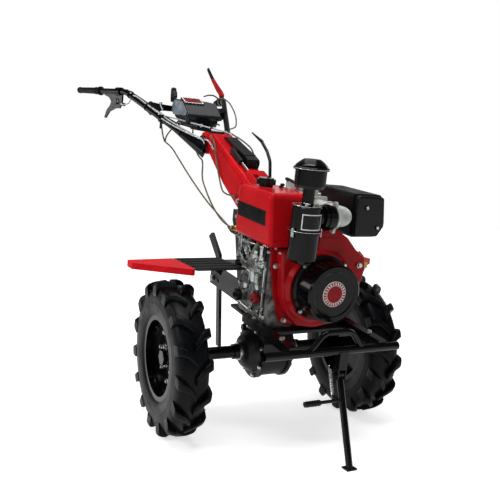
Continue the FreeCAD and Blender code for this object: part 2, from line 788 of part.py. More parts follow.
def fuel_cap():
    """A ribbed screw cap on a short neck."""
    top = "tank_bottom + tank_height"
    neck = rod("Z", "cap_radius - 8", 6, "cap_x", "cap_y", top)
    skirt = rod("Z", "cap_radius - 2", "cap_height - 4", "cap_x", "cap_y", f"{top} + 6")
    lid = rod("Z", "cap_radius - 6", "cap_height", "cap_x", "cap_y", f"{top} + 6")
    ribs = []
    for number in range(int(size("cap_ribs"))):
        turn = 2 * math.pi * number / size("cap_ribs")
        reach = size("cap_radius") - 2.5
        ribs.append(rod("Z", 2.5, "cap_height - 4", f"cap_x + {reach * math.cos(turn)}",
                        f"cap_y + {reach * math.sin(turn)}", f"{top} + 6"))
    return join("fuel_cap_body", [neck, skirt, lid] + ribs)


def air_filter():
    """The upright filter canister with its clamping band and outlet."""
    radius, top = "filter_radius", "filter_height"
    outline = [(0, 0), (f"{radius} - 8", 0), (radius, 8), (radius, f"{top} * 0.5"),
               (f"{radius} + 4", f"{top} * 0.5"), (f"{radius} + 4", f"{top} * 0.56"),
               (radius, f"{top} * 0.56"), (radius, f"{top} - 4"), (f"{radius} - 4", top),
               (0, top)]
    can = turned("filter_can", "XZ", outline, "V_Axis", x="filter_x", y="filter_y",
                 z="filter_bottom")
    outlet = rod("Y", "elbow_radius", "8 - filter_y", "filter_x", "filter_y", "elbow_z")
    collar = rod("Y", "elbow_radius + 8", 34, "filter_x", -32, "elbow_z")
    band = rod("Y", "elbow_radius + 11", 10, "filter_x", -20, "elbow_z")
    foot = block("filter_x - 22", "filter_y - 16", "filter_bottom - 6", 44, 32, 8)
    return join("air_filter_body", [can, outlet, collar, band, foot])


def pre_cleaner():
    """The bowl and domed lid on the filter's upright neck."""
    low, high = "precleaner_bottom - filter_bottom - filter_height", "precleaner_top"
    base = "filter_bottom + filter_height"
    outline = [(0, 0), ("filter_neck", 0), ("filter_neck", low),
               ("precleaner_radius - 4", low), ("precleaner_radius", f"{low} + 8"),
               ("precleaner_radius", f"{low} + 50"), ("precleaner_radius + 6", f"{low} + 50"),
               ("precleaner_radius + 6", f"{low} + 56"), ("precleaner_radius - 6", f"{low} + 64"),
               ("precleaner_radius - 18", f"{high} - ({base})"), (0, f"{high} - ({base})")]
    return turned("pre_cleaner_body", "XZ", outline, "V_Axis", x="filter_x", y="filter_y", z=base)


def intake_elbow():
    """The cast elbow from the filter's outlet back to the head, with a flange at each end."""
    height, filter_x = size("elbow_z"), size("filter_x")
    across = size("head_right") + 56
    port = size("head_front")
    path = bent_wire([Vector(filter_x, 8, height), Vector(filter_x, across, height),
                      Vector(port, across, height)], 42)
    pipe = swept(path, size("elbow_radius"))
    near = Part.makeCylinder(size("elbow_radius") + 6, 8, Vector(filter_x, 8, height), Y_AXIS)
    ears = [Part.makeCylinder(9, 8, Vector(filter_x, 8, height + up), Y_AXIS) for up in (-37, 37)]
    web = Part.makeBox(18, 8, 74, Vector(filter_x - 9, 8, height - 37))
    far = Part.makeBox(9, 60, 70, Vector(port, across - 30, height - 35))
    rib = Part.makeCylinder(size("elbow_radius") + 4, 7, Vector(port + 70, across, height), X_AXIS)
    return shaped("intake_elbow_body", pipe.fuse([near, web, far, rib] + ears).removeSplitter())


SHIELD_BOLTS = ((230, 516), (279, 452))


def muffler():
    """The black silencer: a box with a cut-off corner, its pressed cover and its pipe."""
    bottom, right = "muffler_bottom", "muffler_right"
    left, top = "muffler_right + muffler_width", "muffler_bottom + muffler_height"
    front = "muffler_rear + muffler_length - shield_depth"
    outline = [(right, bottom), (f"{left} - 24", bottom), (left, f"{bottom} + 36"),
               (left, f"{bottom} + 54"), (f"{left} - 12", f"{top} - 3"), (right, top)]
    box = slab("muffler_box", "YZ", "muffler_rear", front, outline, corner=12)
    shield = slab("muffler_shield", "YZ", f"{front} - 2", f"{front} + shield_depth",
                  [(f"{right} + 4", f"{bottom} + 5"), (f"{left} - 27", f"{bottom} + 5"),
                   (f"{left} - 5", f"{bottom} + 38"), (f"{left} - 5", f"{bottom} + 54"),
                   (f"{left} - 16", f"{top} - 8"), (f"{right} + 4", f"{top} - 5")], corner=10)
    doc.recompute()
    face = shield.Shape.BoundBox.XMax - 0.1
    round_off(shield, 7, lambda edge: edge.BoundBox.XMin > face)
    slots = [block(f"{ahead}", f"{right} + 18", f"{top} - 8", 8, "muffler_width - 48", 20)
             for ahead in range(-64, 110, 22)]
    pipe = rod("Y", 17, "muffler_right - head_left + 4", 60, "head_left", 486)
    flange = block(38, "head_left", 466, 44, 9, 40)
    tail = rod("X", 15, 30, "muffler_rear - 28", "muffler_right + 40", "muffler_bottom + 46")
    bolts = [rod("X", 7, 6, f"{front} + shield_depth - 2", across, up)
             for across, up in SHIELD_BOLTS]
    solid = join("muffler_solid", [box, shield, pipe, flange, tail] + bolts)
    return take_away("muffler_slotted", solid, join("muffler_slots", slots))


on_machine("fuel_tank", fuel_tank())
on_machine("fuel_cap", fuel_cap())
on_machine("air_filter", air_filter())
on_machine("pre_cleaner", pre_cleaner())
on_machine("intake_elbow", intake_elbow())
on_machine("muffler", muffler())
on_machine("fuel_lines", shaped("fuel_lines_body", Part.makeCompound(fuel_lines())))

# ---------------------------------------------------------------- engine base and bumper


def engine_base():
    """The plate under the crankcase, on the gearbox's shoulder."""
    return plate("engine_base_body", "gear_front + 6", "-block_right - 2",
                 "block_bottom - base_sheet", 286, "block_right + block_left + 4", "base_sheet")


def coped(name, item, extra=0):
    """Cuts the crossbar's round out of what is welded to it."""
    bar = rod("Y", f"bumper_radius + {extra}", "bumper_length", "bumper_x",
              "-bumper_length / 2", "bumper_z")
    return take_away(name, item, bar)


def base_rail(name, inner):
    """A channel beside the crankcase's foot, forward to the crossbar."""
    low = "block_bottom - base_sheet"
    rail = block("rail_start", inner, low, "bumper_x - rail_start", "rail_width", "rail_height")
    hollow = block("rail_start - 10", f"{inner} + rail_sheet", f"{low} - 10",
                   "bumper_x - rail_start - bumper_radius + 4", "rail_width - 2 * rail_sheet",
                   "rail_height + 10 - rail_sheet")
    return coped(name, take_away(f"{name}_channel", rail, hollow))


def crossbar():
    """The bumper's open-ended tube."""
    outer = rod("Y", "bumper_radius", "bumper_length", "bumper_x", "-bumper_length / 2",
                "bumper_z")
    inner = rod("Y", "bumper_radius - bumper_wall", "bumper_length + 20", "bumper_x",
                "-bumper_length / 2 - 10", "bumper_z")
    return take_away("crossbar_body", outer, inner)


def bumper_hoop():
    """The bent guard tube that stands on the crossbar."""
    x, z, half = size("bumper_x"), size("bumper_z"), size("hoop_half_width")
    top, middle = z + size("hoop_height"), size("hoop_y")
    right, left = middle - half, middle + half
    path = bent_wire([Vector(x, right, z + 2), Vector(x, right + 44, top),
                      Vector(x, left - 44, top), Vector(x, left, z + 2)], 34)
    return coped("hoop_body", shaped("hoop_tube", swept(path, size("hoop_radius"))))


def stand_post():
    """A square tube under the crossbar; below the stand's eye only its cheeks go on."""
    half = "post_width / 2"
    outer = block(f"bumper_x - {half}", f"post_y - {half}", "post_bottom", "post_width",
                  "post_width", "bumper_z - post_bottom")
    inner = block(f"bumper_x - {half} + post_wall", f"post_y - {half} + post_wall",
                  "post_bottom - 10", "post_width - 2 * post_wall", "post_width - 2 * post_wall",
                  "bumper_z - post_bottom - 4")
    mouth = block(f"bumper_x - {half} - 10", f"post_y - {half} + post_wall", "post_bottom - 10",
                  "post_width + 20", "post_width - 2 * post_wall", "post_open - post_bottom + 10")
    pin = rod("Y", "stand_pin_radius + fit_gap", "post_width + 20", "bumper_x",
              f"post_y - {half} - 10", "stand_pivot_z")
    body = take_away("post_open", take_away("post_hollow", outer, inner), mouth)
    return coped("stand_post_body", take_away("post_bored", body, pin))


on_machine("engine_base", engine_base())
on_machine("base_rail_right", base_rail("base_rail_right_body", "-block_right - 2 - rail_width"))
on_machine("base_rail_left", base_rail("base_rail_left_body", "block_left + 2"))
on_machine("bumper_crossbar", crossbar())
on_machine("bumper_hoop", bumper_hoop())
on_machine("stand_post", stand_post())

# ---------------------------------------------------------------- front stand
# Its frame's origin is the pivot; the stand leans forward from there to the floor.

PITCH = "(park_pitch * 1deg)"
PIVOT_X = f"bumper_x * cos{PITCH} + stand_pivot_z * sin{PITCH} + axle_ahead"
PIVOT_Z = f"wheel_radius - bumper_x * sin{PITCH} + stand_pivot_z * cos{PITCH}"


def on_stand(name, item):
    bind(item, Placement_Base_x=PIVOT_X, Placement_Base_y="post_y", Placement_Base_z=PIVOT_Z)
    return keep(name, item)


def stand_drop():
    """The height of the stand's pivot over the floor."""
    pitch = math.radians(size("park_pitch"))
    ahead, up = size("bumper_x"), size("stand_pivot_z")
    return size("wheel_radius") - ahead * math.sin(pitch) + up * math.cos(pitch)


def stand_leg():
    """Eye, pin, slanted tube and foot plate."""
    drop = stand_drop()
    foot = Vector(size("leg_forward"), 0, -drop + size("foot_sheet"))
    tube = Part.makeCylinder(size("leg_radius"), foot.Length + 20, Vector(), foot)
    eye_width = size("post_width") - 2 * size("post_wall") - 2 * size("fit_gap")
    eye = Part.makeCylinder(size("stand_eye_radius"), eye_width, Vector(0, -eye_width / 2, 0),
                            Y_AXIS)
    pin_length = size("post_width") + 6
    pin = Part.makeCylinder(size("stand_pin_radius"), pin_length, Vector(0, -pin_length / 2, 0),
                            Y_AXIS)
    tube = tube.cut(Part.makeBox(160, 80, 40, Vector(0, -40, foot.z - 40)))
    plate = Part.makeBox(size("foot_length"), size("foot_width"), size("foot_sheet"),
                         Vector(foot.x - size("foot_length") / 2, -size("foot_width") / 2, -drop))
    return shaped("stand_leg_body", tube.fuse([eye, pin, plate]).removeSplitter())


def stand_pedal():
    """The foot lever: a thin bar out to the machine's right with a rubber sleeve."""
    drop, low = stand_drop(), size("pedal_drop")
    root = Vector(size("leg_forward") * low / drop, 0, -low)
    start = root + Vector(0, -size("leg_radius"), 0)
    bar = Part.makeCylinder(5, size("pedal_length") - 48, start, -Y_AXIS)
    end = start - Vector(0, size("pedal_length") - 48, 0)
    sleeve = Part.makeCylinder(8, 50, end, -Y_AXIS)
    beads = [Part.makeCylinder(9, 3, end - Vector(0, 4 + 9 * number, 0), -Y_AXIS)
             for number in range(5)]
    return shaped("stand_pedal_body", bar.fuse([sleeve] + beads))


def stand_spring():
    """The return spring, drawn as its outline, from the pedal's bar up beside the post."""
    gap, low = size("fit_gap"), size("pedal_drop")
    across = -size("spring_out")
    foot = Vector(size("leg_forward") * low / stand_drop(), across, -low + 5 + 2 * gap)
    head = Vector(-8, across, size("spring_rise"))
    way = Vector(head - foot).normalize()
    length = (head - foot).Length
    coil = Part.makeCylinder(size("spring_radius"), length - 20, foot + way * 10, way)
    wire = Part.makeCylinder(1.5, length, foot, way)
    reach = size("spring_out") - size("post_width") / 2 - gap
    hook = Part.makeCylinder(1.5, reach, head, Y_AXIS)
    return shaped("stand_spring_body", coil.fuse([wire, hook]))


on_stand("stand_leg", stand_leg())
on_stand("stand_pedal", stand_pedal())
on_stand("stand_spring", stand_spring())

# ---------------------------------------------------------------- handle column


def handle_column():
    """The deep pressed arm from the gearbox's top up to the handlebar head."""
    outline = [("column_foot_front", "gear_top"), ("gear_rear + 3", "gear_top"), (-385, 508),
               (-545, 606), (-565, 680), ("-516", "cap_top - 2"), (-206, "cap_top - 124"),
               ("column_foot_front", "cap_top - 163")]
    body = slab("column_body", "XZ", "-column_half_width", "column_half_width", outline,
                corner=14, rim=12)
    ridge = slab("column_ridge", "XZ", "-column_half_width - 3", "column_half_width + 3",
                 [(-437, 618), (-424, 598), (-214, 514), (-206, 536), (-217, 544), (-426, 628)],
                 corner=5)
    return join("column_solid", [body, ridge])


def column_cap():
    """The red rounded head that carries the handlebars."""
    outline = [(-568, 600), (-568, "cap_top"), (-618, "cap_top"), (-641, "cap_top - 24"),
               (-641, 622), (-612, 600)]
    return slab("column_cap_body", "XZ", "-cap_half_width", "cap_half_width", outline,
                corner=12, rim=11)


FLARE_ROOT = Vector(-557, 55, 614)


def arm_points(side):
    """The three points of an arm: its root at the head, its bend and its tip."""
    root = Vector(FLARE_ROOT.x, side * FLARE_ROOT.y, FLARE_ROOT.z)
    bend = Vector(size("bend_x"), side * size("bend_y"), size("bend_z"))
    tip = Vector(size("grip_tip_x"), side * size("grip_tip_y"), size("grip_tip_z"))
    return root, bend, tip


def handlebar(name, side):
    """A tube from a flared root and a round flange at the head, bent outwards at the grip."""
    root, bend, tip = arm_points(side)
    path = bent_wire([root, bend, tip], 120)
    bore = swept(path, size("arm_radius") - size("arm_wall"))
    run = Vector(bend - root).normalize()
    across = run.cross(Z_AXIS).normalize()
    rise = across.cross(run)
    sections = []
    for share, wide, tall in ((0, 7, 31), (0.16, 11, 22), (0.34, size("arm_radius"),
                                                          size("arm_radius"))):
        middle = root + (bend - root) * share
        ring = Part.Ellipse(Vector(), tall, wide) if tall > wide else Part.Circle(
            Vector(), Z_AXIS, wide)
        wire = Part.Wire(ring.toShape())
        wire.Placement = FreeCAD.Placement(middle, FreeCAD.Rotation(rise, across * -1, run, "ZXY"))
        sections.append(wire)
    flare = Part.makeLoft(sections, True)
    inner = side * (size("cap_half_width") + 0)
    disc = Part.makeCylinder(34, 10, Vector(FLARE_ROOT.x - 36, inner, 636), Y_AXIS * side)
    half = size("cap_half_width")
    inside = Part.makeBox(300, 2 * half, 300, Vector(-700, -half, 500))
    tube = swept(path, size("arm_radius")).fuse([flare, disc])
    return shaped(name, tube.cut(bore).cut(inside))


def grip(name, side):
    """A moulded rubber grip over the tube's end: tapered, with a flange and three ridges."""
    _root, bend, tip = arm_points(side)
    way = Vector(bend - tip).normalize()
    start, length = tip - way * 6, size("grip_length")
    thick = size("grip_radius")
    outer = Part.makeCone(thick - 1, thick + 1, length, start, way)
    end = Part.makeCylinder(thick + 0.5, 8, start, way)
    ridges = [Part.makeCylinder(thick + 2.5, 4, start + way * (length - 18 - 12 * number), way)
              for number in range(3)]
    flange = Part.makeCylinder(thick + 6, 5, start + way * (length - 5), way)
    inner = Part.makeCylinder(size("arm_radius"), length + 6, tip, way)
    return shaped(name, outer.fuse(ridges + [end, flange]).cut(inner))


def console():
    """The moulded control box between the arms, with a lid that overhangs its tapered tub."""
    low = "(cap_top + console_rise)"
    right, left = "console_y - console_width / 2", "console_y + console_width / 2"
    tub = [("console_x", low), ("console_x + 78", low), ("console_x + 96", f"{low} + 40"),
           ("console_x + 32", f"{low} + 90"), ("console_x - 66", f"{low} + 96"),
           ("console_x - 92", f"{low} + 66"), ("console_x - 84", f"{low} + 30")]
    lid = [("console_x - 100", f"{low} + 62"), ("console_x + 90", f"{low} + 26"),
           ("console_x + 102", f"{low} + 44"), ("console_x + 36", f"{low} + 96"),
           ("console_x - 74", f"{low} + 103"), ("console_x - 104", f"{low} + 74")]
    body = slab("console_tub", "XZ", f"{right} + 9", f"{left} - 9", tub, corner=10, rim=6)
    cover = slab("console_lid", "XZ", right, left, lid, corner=8, rim=5)
    return join("console_solid", [body, cover])


def tube_runs(spread=0):
    """Plain bars along both arms' straight runs, to cut out of what is welded to them."""
    bars = []
    for side in SIDES.values():
        root, bend, _tip = arm_points(side)
        bars.append(Part.makeCylinder(size("arm_radius") + spread, (bend - root).Length, root,
                                      bend - root))
    return bars


def console_bracket():
    """The plates under the console, and the brace behind it from arm to arm."""
    thick, half = 6, 32
    plate = Part.makeBox(-574 - size("console_x"), 2 * half, thick,
                         Vector(size("console_x"), -half, size("cap_top")))
    spacer = Part.makeBox(74, 2 * half, size("console_rise") - thick + 2,
                          Vector(size("console_x"), -half, size("cap_top") + thick - 2))
    root, bend, _tip = arm_points(1)
    share = (size("brace_x") - root.x) / (bend.x - root.x)
    arm = root + (bend - root) * share
    side = [(0, arm.z - 10), (arm.y - 70, arm.z - 10), (arm.y - 22, arm.z - 34),
            (arm.y + 2, arm.z - 14), (arm.y + 2, arm.z + 12), (arm.y - 16, arm.z + 24),
            (arm.y - 60, arm.z + 18), (0, arm.z + 10)]
    ring = side + [(-across, up) for across, up in reversed(side[1:-1])]
    corners = [Vector(size("brace_x"), across, up) for across, up in ring]
    brace = Part.Face(Part.makePolygon(corners + corners[:1])).extrude(
        X_AXIS * size("brace_sheet"))
    x, low = size("console_x"), size("cap_top")
    strap = blade([(size("brace_x"), arm.z + 8), (size("brace_x") + 10, arm.z + 8),
                   (size("brace_x") + 16, arm.z - 14), (x - 86, low + 38), (x + 6, low + 5),
                   (x + 6, low), (x - 90, low + 28), (size("brace_x"), arm.z - 24)],
                  -half, 2 * half)
    whole = plate.fuse([spacer, brace, strap])
    return shaped("console_bracket_body", whole.cut(Part.makeCompound(tube_runs())))


def gear_gate():
    """The red folded bracket over the column's lower end, where the levers come through."""
    low, fold = "(cap_top - 124)", 22
    outline = [(-206, low), (-212, f"{low} + 10"), (-206, f"{low} + {fold}"),
               (-112, f"{low} - 12"), (-112, f"{low} - 94 * 0.39")]
    gate = slab("gear_gate_body", "XZ", -34, 34, outline)
    slot = block(-176, -24, f"{low} - 6", 46, 20, 40)
    _foot, stem, way = aux_lever_stem()
    bore = Part.makeCylinder(size("aux_lever_radius") + size("fit_gap"), 60, stem, way)
    holes = join("gear_gate_holes", [slot, shaped("gear_gate_bore", bore)])
    return take_away("gear_gate_slotted", gate, holes)


def aux_lever_stem():
    """The auxiliary lever's lower end, a point under it, and the way that it rises."""
    foot = Vector(-132, 24, size("cap_top") - 146)
    way = Vector(-20, 2, 84).normalize()
    return foot, foot - way * 0.3, way


def along_column(radius, start_x, end_x, y):
    """A round bar that lies along the column's sloping top, from one x to another."""
    slope = 122 / 310
    run = Vector(1, 0, -slope).normalize()
    rise = Vector(slope, 0, 1).normalize()
    top = size("cap_top") - 2
    start = Vector(start_x, y, top - (start_x + 516) * slope) + rise * (radius + size("fit_gap"))
    return start, run, (end_x - start_x) / run.x


def rod_sleeve():
    """The black sleeve that guides the selector rod on the column."""
    start, run, length = along_column(10, -372, -284, -20)
    return shaped("rod_sleeve_body", Part.makeCylinder(10, length, start, run))


def cable_guard():
    """The black moulded cover on the column's top, deeper towards its lower end."""
    upper, run, length = along_column(0, -490, -262, 0)
    rise = run.cross(Y_AXIS)
    right = size("guard_y") - size("guard_half_width")
    outline = [(0, 0), (0, 5), (14, 11), (length - 30, 30), (length - 8, 30), (length, 22),
               (length, 0)]
    corners = [upper + run * ahead + rise * up + Vector(0, right, 0) for ahead, up in outline]
    face = Part.Face(Part.makePolygon(corners + corners[:1]))
    cover = face.extrude(Y_AXIS * 2 * size("guard_half_width"))
    lie = FreeCAD.Rotation(X_AXIS, run)
    ribs = []
    for back in (52, 92, 132):
        rib = Part.makeBox(5, 2 * size("guard_half_width") + 3, 30 - (back - 52) * 0.13,
                           Vector(0, right - 1.5, 0))
        rib.Placement = FreeCAD.Placement(upper + run * (length - back), lie)
        ribs.append(rib)
    return shaped("cable_guard_body", cover.fuse(ribs))


def selector_rod():
    """The bright rod from the sleeve down to the gear gate."""
    start, run, length = along_column(10, -284, -215, -20)
    return shaped("selector_rod_body", Part.makeCylinder(5, length, start, run))


def aux_shift_lever():
    """The tall curved lever that rises from the gear gate and thins towards its tip."""
    foot, _under, way = aux_lever_stem()
    bend, neck, tip = Vector(-186, 28, 652), Vector(-237, 29, 682), Vector(-321, 30, 706)
    path = bent_wire([foot, foot + way * 86, bend, neck], 40)
    thick, onward = size("aux_lever_radius"), Vector(tip - neck).normalize()
    end = Part.makeCone(thick + 0.6, 2.5, (tip - neck).Length + 5, neck - onward * 5, onward)
    return shaped("aux_shift_lever_body", swept(path, thick).fuse(end))


def shift_lever():
    """The gear lever's stem and black knob behind the console's lid."""
    floor = size("cap_top") + size("console_rise")
    face = Vector(size("console_x") - 89, size("console_y") - 59, floor + 88.5)
    way = Vector(-29, 0, 30).normalize()
    foot = face + way * size("fit_gap")
    stem = Part.makeCylinder(5, 34, foot, way)
    knob = Part.makeCone(9, 13, 26, foot + way * 28, way)
    crown = Part.makeCone(13, 8, 12, foot + way * 54, way)
    return shaped("shift_lever_body", stem.fuse([knob, crown]))


def clamp_ring(along, way, width):
    """A ring about a handlebar tube."""
    outer = Part.makeCylinder(size("arm_radius") + 6, width, along, way)
    return outer.cut(Part.makeCylinder(size("arm_radius"), width, along, way))


def blade(points, across, sheet):
    """A flat lever cut from sheet, standing along the machine; across is its right face."""
    face = [Vector(ahead, across, up) for ahead, up in points]
    return Part.Face(Part.makePolygon(face + face[:1])).extrude(Y_AXIS * sheet)


def squeeze_lever():
    """The perch under the right arm with its barrel adjuster, and the hooked lever it carries."""
    _root, bend, tip = arm_points(-1)
    way = Vector(tip - bend).normalize()
    out = way.cross(Z_AXIS).normalize()
    ring = clamp_ring(bend + way * 34, way, 34)
    outline = [(20, -9), (22, -46), (38, -74), (80, -76), (126, -92), (156, -122), (166, -119),
               (148, -84), (122, -64), (112, -46), (130, -28), (174, -17), (174, -9)]
    corners = [bend + way * ahead + Z_AXIS * up - out * 4 for ahead, up in outline]
    lever = Part.Face(Part.makePolygon(corners + corners[:1])).extrude(out * 8)
    pivot = Part.makeCylinder(13, 24, bend + way * 66 - Z_AXIS * 44 - out * 12, out)
    barrel = Part.makeCylinder(7, 30, bend + way * 34 - Z_AXIS * 56, way * -1)
    bar = Part.makeCylinder(size("arm_radius"), 220, bend, way)
    return shaped("squeeze_lever_body", ring.fuse([lever, pivot, barrel]).cut(bar))


def clutch_lever():
    """The tall lever above the left grip: its perch, its handle and the thin trigger beside."""
    _root, bend, tip = arm_points(1)
    way = Vector(tip - bend).normalize()
    centre = bend + way * 84
    ring = clamp_ring(centre, way, 34)
    x, y, z = centre + way * 16
    outline = [(0, 10), (-16, 10), (-22, 27), (-74, 54), (-140, 98), (-212, 152), (-216, 160),
               (-208, 166), (-136, 118), (-64, 80), (-2, 50), (16, 34), (14, 10)]
    handle = blade([(x + ahead, z + up) for ahead, up in outline], y - 4, 8)
    pivot = Part.makeCylinder(11, 20, Vector(x - 6, y - 10, z + 32), Y_AXIS)
    trigger = cable([centre + Vector(-6, -12, 10), centre + Vector(-50, -24, 28),
                     centre + Vector(-120, -24, 28), centre + Vector(-196, -18, 20)], 3.5)
    bar = Part.makeCylinder(size("arm_radius"), 120, bend + way * 40, way)
    return shaped("clutch_lever_body", ring.fuse([handle, pivot, trigger]).cut(bar))


def control_cables():
    """The held cables: two from the console down the machine's right side, and their bracket."""
    radius = size("cable_radius")
    end = Vector(-160, -size("gear_half_width") - 30, 374)
    x, floor = size("console_x"), size("cap_top") + size("console_rise")
    outer = cable([Vector(x - 60, -62, floor + 20), Vector(-863, -128, 625), Vector(-778, -116, 606),
                   Vector(-570, -108, 513), Vector(-413, -92, 440), end], radius)
    inner = cable([Vector(x + 68, -48, floor - size("fit_gap")), Vector(-716, -48, 640),
                   Vector(-650, -46, 586), Vector(-560, -56, 574), Vector(-547, -62, 507),
                   Vector(-447, -62, 434), Vector(-319, -66, 382), end + Vector(-4, 12, 2)], radius)
    beside = -size("column_half_width") - 4 - radius
    third = cable([Vector(-520, beside + 2, size("cap_top") - 10), Vector(-474, beside, 660),
                   Vector(-431, beside, 576), Vector(-396, beside, 527), Vector(-360, beside, 485),
                   Vector(-319, beside, 479), Vector(-245, beside, 483)], radius)
    root, bend, tip = arm_points(1)
    perch = bend + Vector(tip - bend).normalize() * 78 + Vector(10, -24, 14)
    beyond = Vector(bend - root).cross(Z_AXIS).normalize()
    held = root + (bend - root) * 0.42 + beyond * (size("arm_radius") + radius + size("fit_gap"))
    left = cable([perch, perch + Vector(70, -4, 4), Vector(-985, 226, 806), Vector(-905, 224, 754),
                  Vector(-850, 206, 706), held], radius)
    past = size("column_half_width") + 4 + radius
    top = cable([Vector(-560, past - 4, size("cap_top") + 6), Vector(-437, past, 668),
                 Vector(-358, past, 647), Vector(-321, past, 613), Vector(-314, past, 572)], radius)
    clips = [Part.makeBox(12, 2 * radius + 4, 10, Vector(-251, beside - radius, 478)),
             Part.makeBox(12, 2 * radius + 1, 10, Vector(-320, past - radius - 1, 566))]
    plate = Part.makeBox(26, 30, 4, end - Vector(16, 0, 8))
    posts = [Part.makeCylinder(6, 26, end + Vector(-14, shift, 0), Vector(-1, 0, 0.35))
             for shift in (0, 12)]
    return shaped("control_cables_body",
                  Part.makeCompound([outer, inner, third, left, top, plate] + clips + posts))


on_machine("handle_column", handle_column())
on_machine("column_cap", column_cap())
for side_name, side in SIDES.items():
    on_machine(f"handlebar_{side_name}", handlebar(f"handlebar_{side_name}_body", side))
    on_machine(f"grip_{side_name}", grip(f"grip_{side_name}_body", side))
on_machine("console", console())
on_machine("console_bracket", console_bracket())
on_machine("gear_gate", gear_gate())
on_machine("rod_sleeve", rod_sleeve())
on_machine("selector_rod", selector_rod())
on_machine("cable_guard", cable_guard())
on_machine("aux_shift_lever", aux_shift_lever())
on_machine("shift_lever", shift_lever())
on_machine("control_cables", control_cables())
on_machine("squeeze_lever", squeeze_lever())
on_machine("clutch_lever", clutch_lever())

# ---------------------------------------------------------------- platforms


BLOCK_SIDE = {-1: "block_right", 1: "block_left"}


TREAD_BARS = 5


def slope(ahead, above=0):
    """The height of a platform's upper face, which rises towards the front."""
    run = f"({ahead} - platform_front + platform_length) / platform_length"
    return f"platform_z + platform_rise * {run} + {above}"


def sloping_sheet(name, side, outline, low, high):
    """A panel cut to an outline in plan between two levels along the platforms' slope."""
    front, rear = "platform_front", "platform_front - platform_length"
    plan = slab(f"{name}_plan", "XY", "platform_z - 60", "platform_z + 60", outline, corner=8)
    far = "fender_outer + 20"
    layer = slab(f"{name}_layer", "XZ", f"-({far})", far,
                 [(f"{rear} - 20", slope(f"({rear} - 20)", low)),
                  (f"{front} + 20", slope(f"({front} + 20)", low)),
                  (f"{front} + 20", slope(f"({front} + 20)", high)),
                  (f"{rear} - 20", slope(f"({rear} - 20)", high))])
    common = doc.addObject("Part::MultiCommon", name)
    common.Shapes = [plan, layer]
    return common


def platform(name, side):
    """The black step plate over one tyre, with raised bars across it."""
    inner = f"({BLOCK_SIDE[side]} + platform_gap)"
    near, far = (inner, "platform_outer") if side > 0 else ("-platform_outer", f"-{inner}")
    front, rear = "platform_front", "(platform_front - platform_length)"
    sheet_part = sloping_sheet(f"{name}_sheet", side,
                               [(rear, near), (front, near), (front, far), (rear, far)],
                               0, "platform_sheet")
    bars = []
    for number in range(TREAD_BARS):
        middle = f"({rear} + platform_length * {(number + 0.5) / TREAD_BARS})"
        low = slope(middle, 1)
        bars.append(block(f"{middle} - 8", f"{near} + 8", low, 16,
                          f"{far} - ({near}) - 16", 5))
    return join(name, [sheet_part] + bars)


def fender(name, side):
    """The red outer panel with a rounded tip and lips turned down along its edges."""
    front, rear = "platform_front", "(platform_front - platform_length)"
    inner, outer = f"{side} * platform_outer", f"{side} * fender_outer"
    plan = [(front, inner), (rear, inner), (f"{rear} + 16", outer), (f"{rear} + 76", outer)]
    panel = sloping_sheet(f"{name}_panel", side, plan, 0, "platform_sheet")
    skirt = sloping_sheet(f"{name}_skirt", side, plan, "-platform_lip", "1")
    past, edge = f"{inner} - {side} * 40", f"{outer} - {side} * 5"
    well = [(f"{front} - 7", past), (f"{rear} + 3", past), (f"{rear} + 21", edge),
            (f"{rear} + 72", edge)]
    hollow = sloping_sheet(f"{name}_hollow", side, well, "-platform_lip - 10", 0)
    return join(name, [panel, take_away(f"{name}_lips", skirt, hollow)])


def platform_bracket(name, side):
    """The angle that carries a platform off the gearbox."""
    reach = f"{BLOCK_SIDE[side]} + platform_gap + 50"
    y = "gear_half_width" if side > 0 else f"-({reach})"
    rear = "gear_front - 90"
    return plate(name, rear, y, f"{slope(f'({rear})')} - 9", 60,
                 f"{reach} - gear_half_width", 8)


for side_name, side in SIDES.items():
    on_machine(f"platform_{side_name}", platform(f"platform_{side_name}_body", side))
    on_machine(f"fender_{side_name}", fender(f"fender_{side_name}_body", side))
    on_machine(f"platform_bracket_{side_name}",
               platform_bracket(f"platform_bracket_{side_name}_body", side))

# ---------------------------------------------------------------- hitch and depth stake


BOLT = "5"


def hitch_bracket():
    """The drawbar behind the gearbox, with the stake's slot and the hitch pin's bore."""
    low, high = "hitch_bottom", "hitch_bottom + hitch_height"
    outline = [("hitch_rear", low), (gearbox_back(low), low), (gearbox_back(high), high),
               ("hitch_rear", high)]
    bar = slab("hitch_bar", "XZ", "-hitch_half_width", "hitch_half_width", outline)
    slot = block("hitch_rear + 10", "-stake_sheet / 2 - fit_gap", "hitch_bottom - 10",
                 "stake_width + 20", "stake_sheet + 2 * fit_gap", "hitch_height + 20")
    pin = rod("Y", "pin_radius", "2 * hitch_half_width + 20", "hitch_rear + 78",
              "-hitch_half_width - 10", "hitch_bottom + hitch_height / 2")
    bolt = rod("Y", f"{BOLT} + fit_gap", "2 * hitch_half_width", "hitch_rear + 32",
               "-2 * hitch_half_width", "hitch_bottom + hitch_height / 2")
    holes = join("hitch_holes", [pin, bolt, slot])
    return take_away("hitch_bored", bar, holes)


def stake_clamp():
    """The clamp bolt that presses on the stake's right face."""
    level = "hitch_bottom + hitch_height / 2"
    shank = rod("Y", BOLT, "hitch_half_width - stake_sheet / 2 - fit_gap + 8", "hitch_rear + 32",
                "-hitch_half_width - 8", level)
    knob = rod("Y", 11, 10, "hitch_rear + 32", "-hitch_half_width - 12", level)
    return join("stake_clamp_body", [shank, knob])


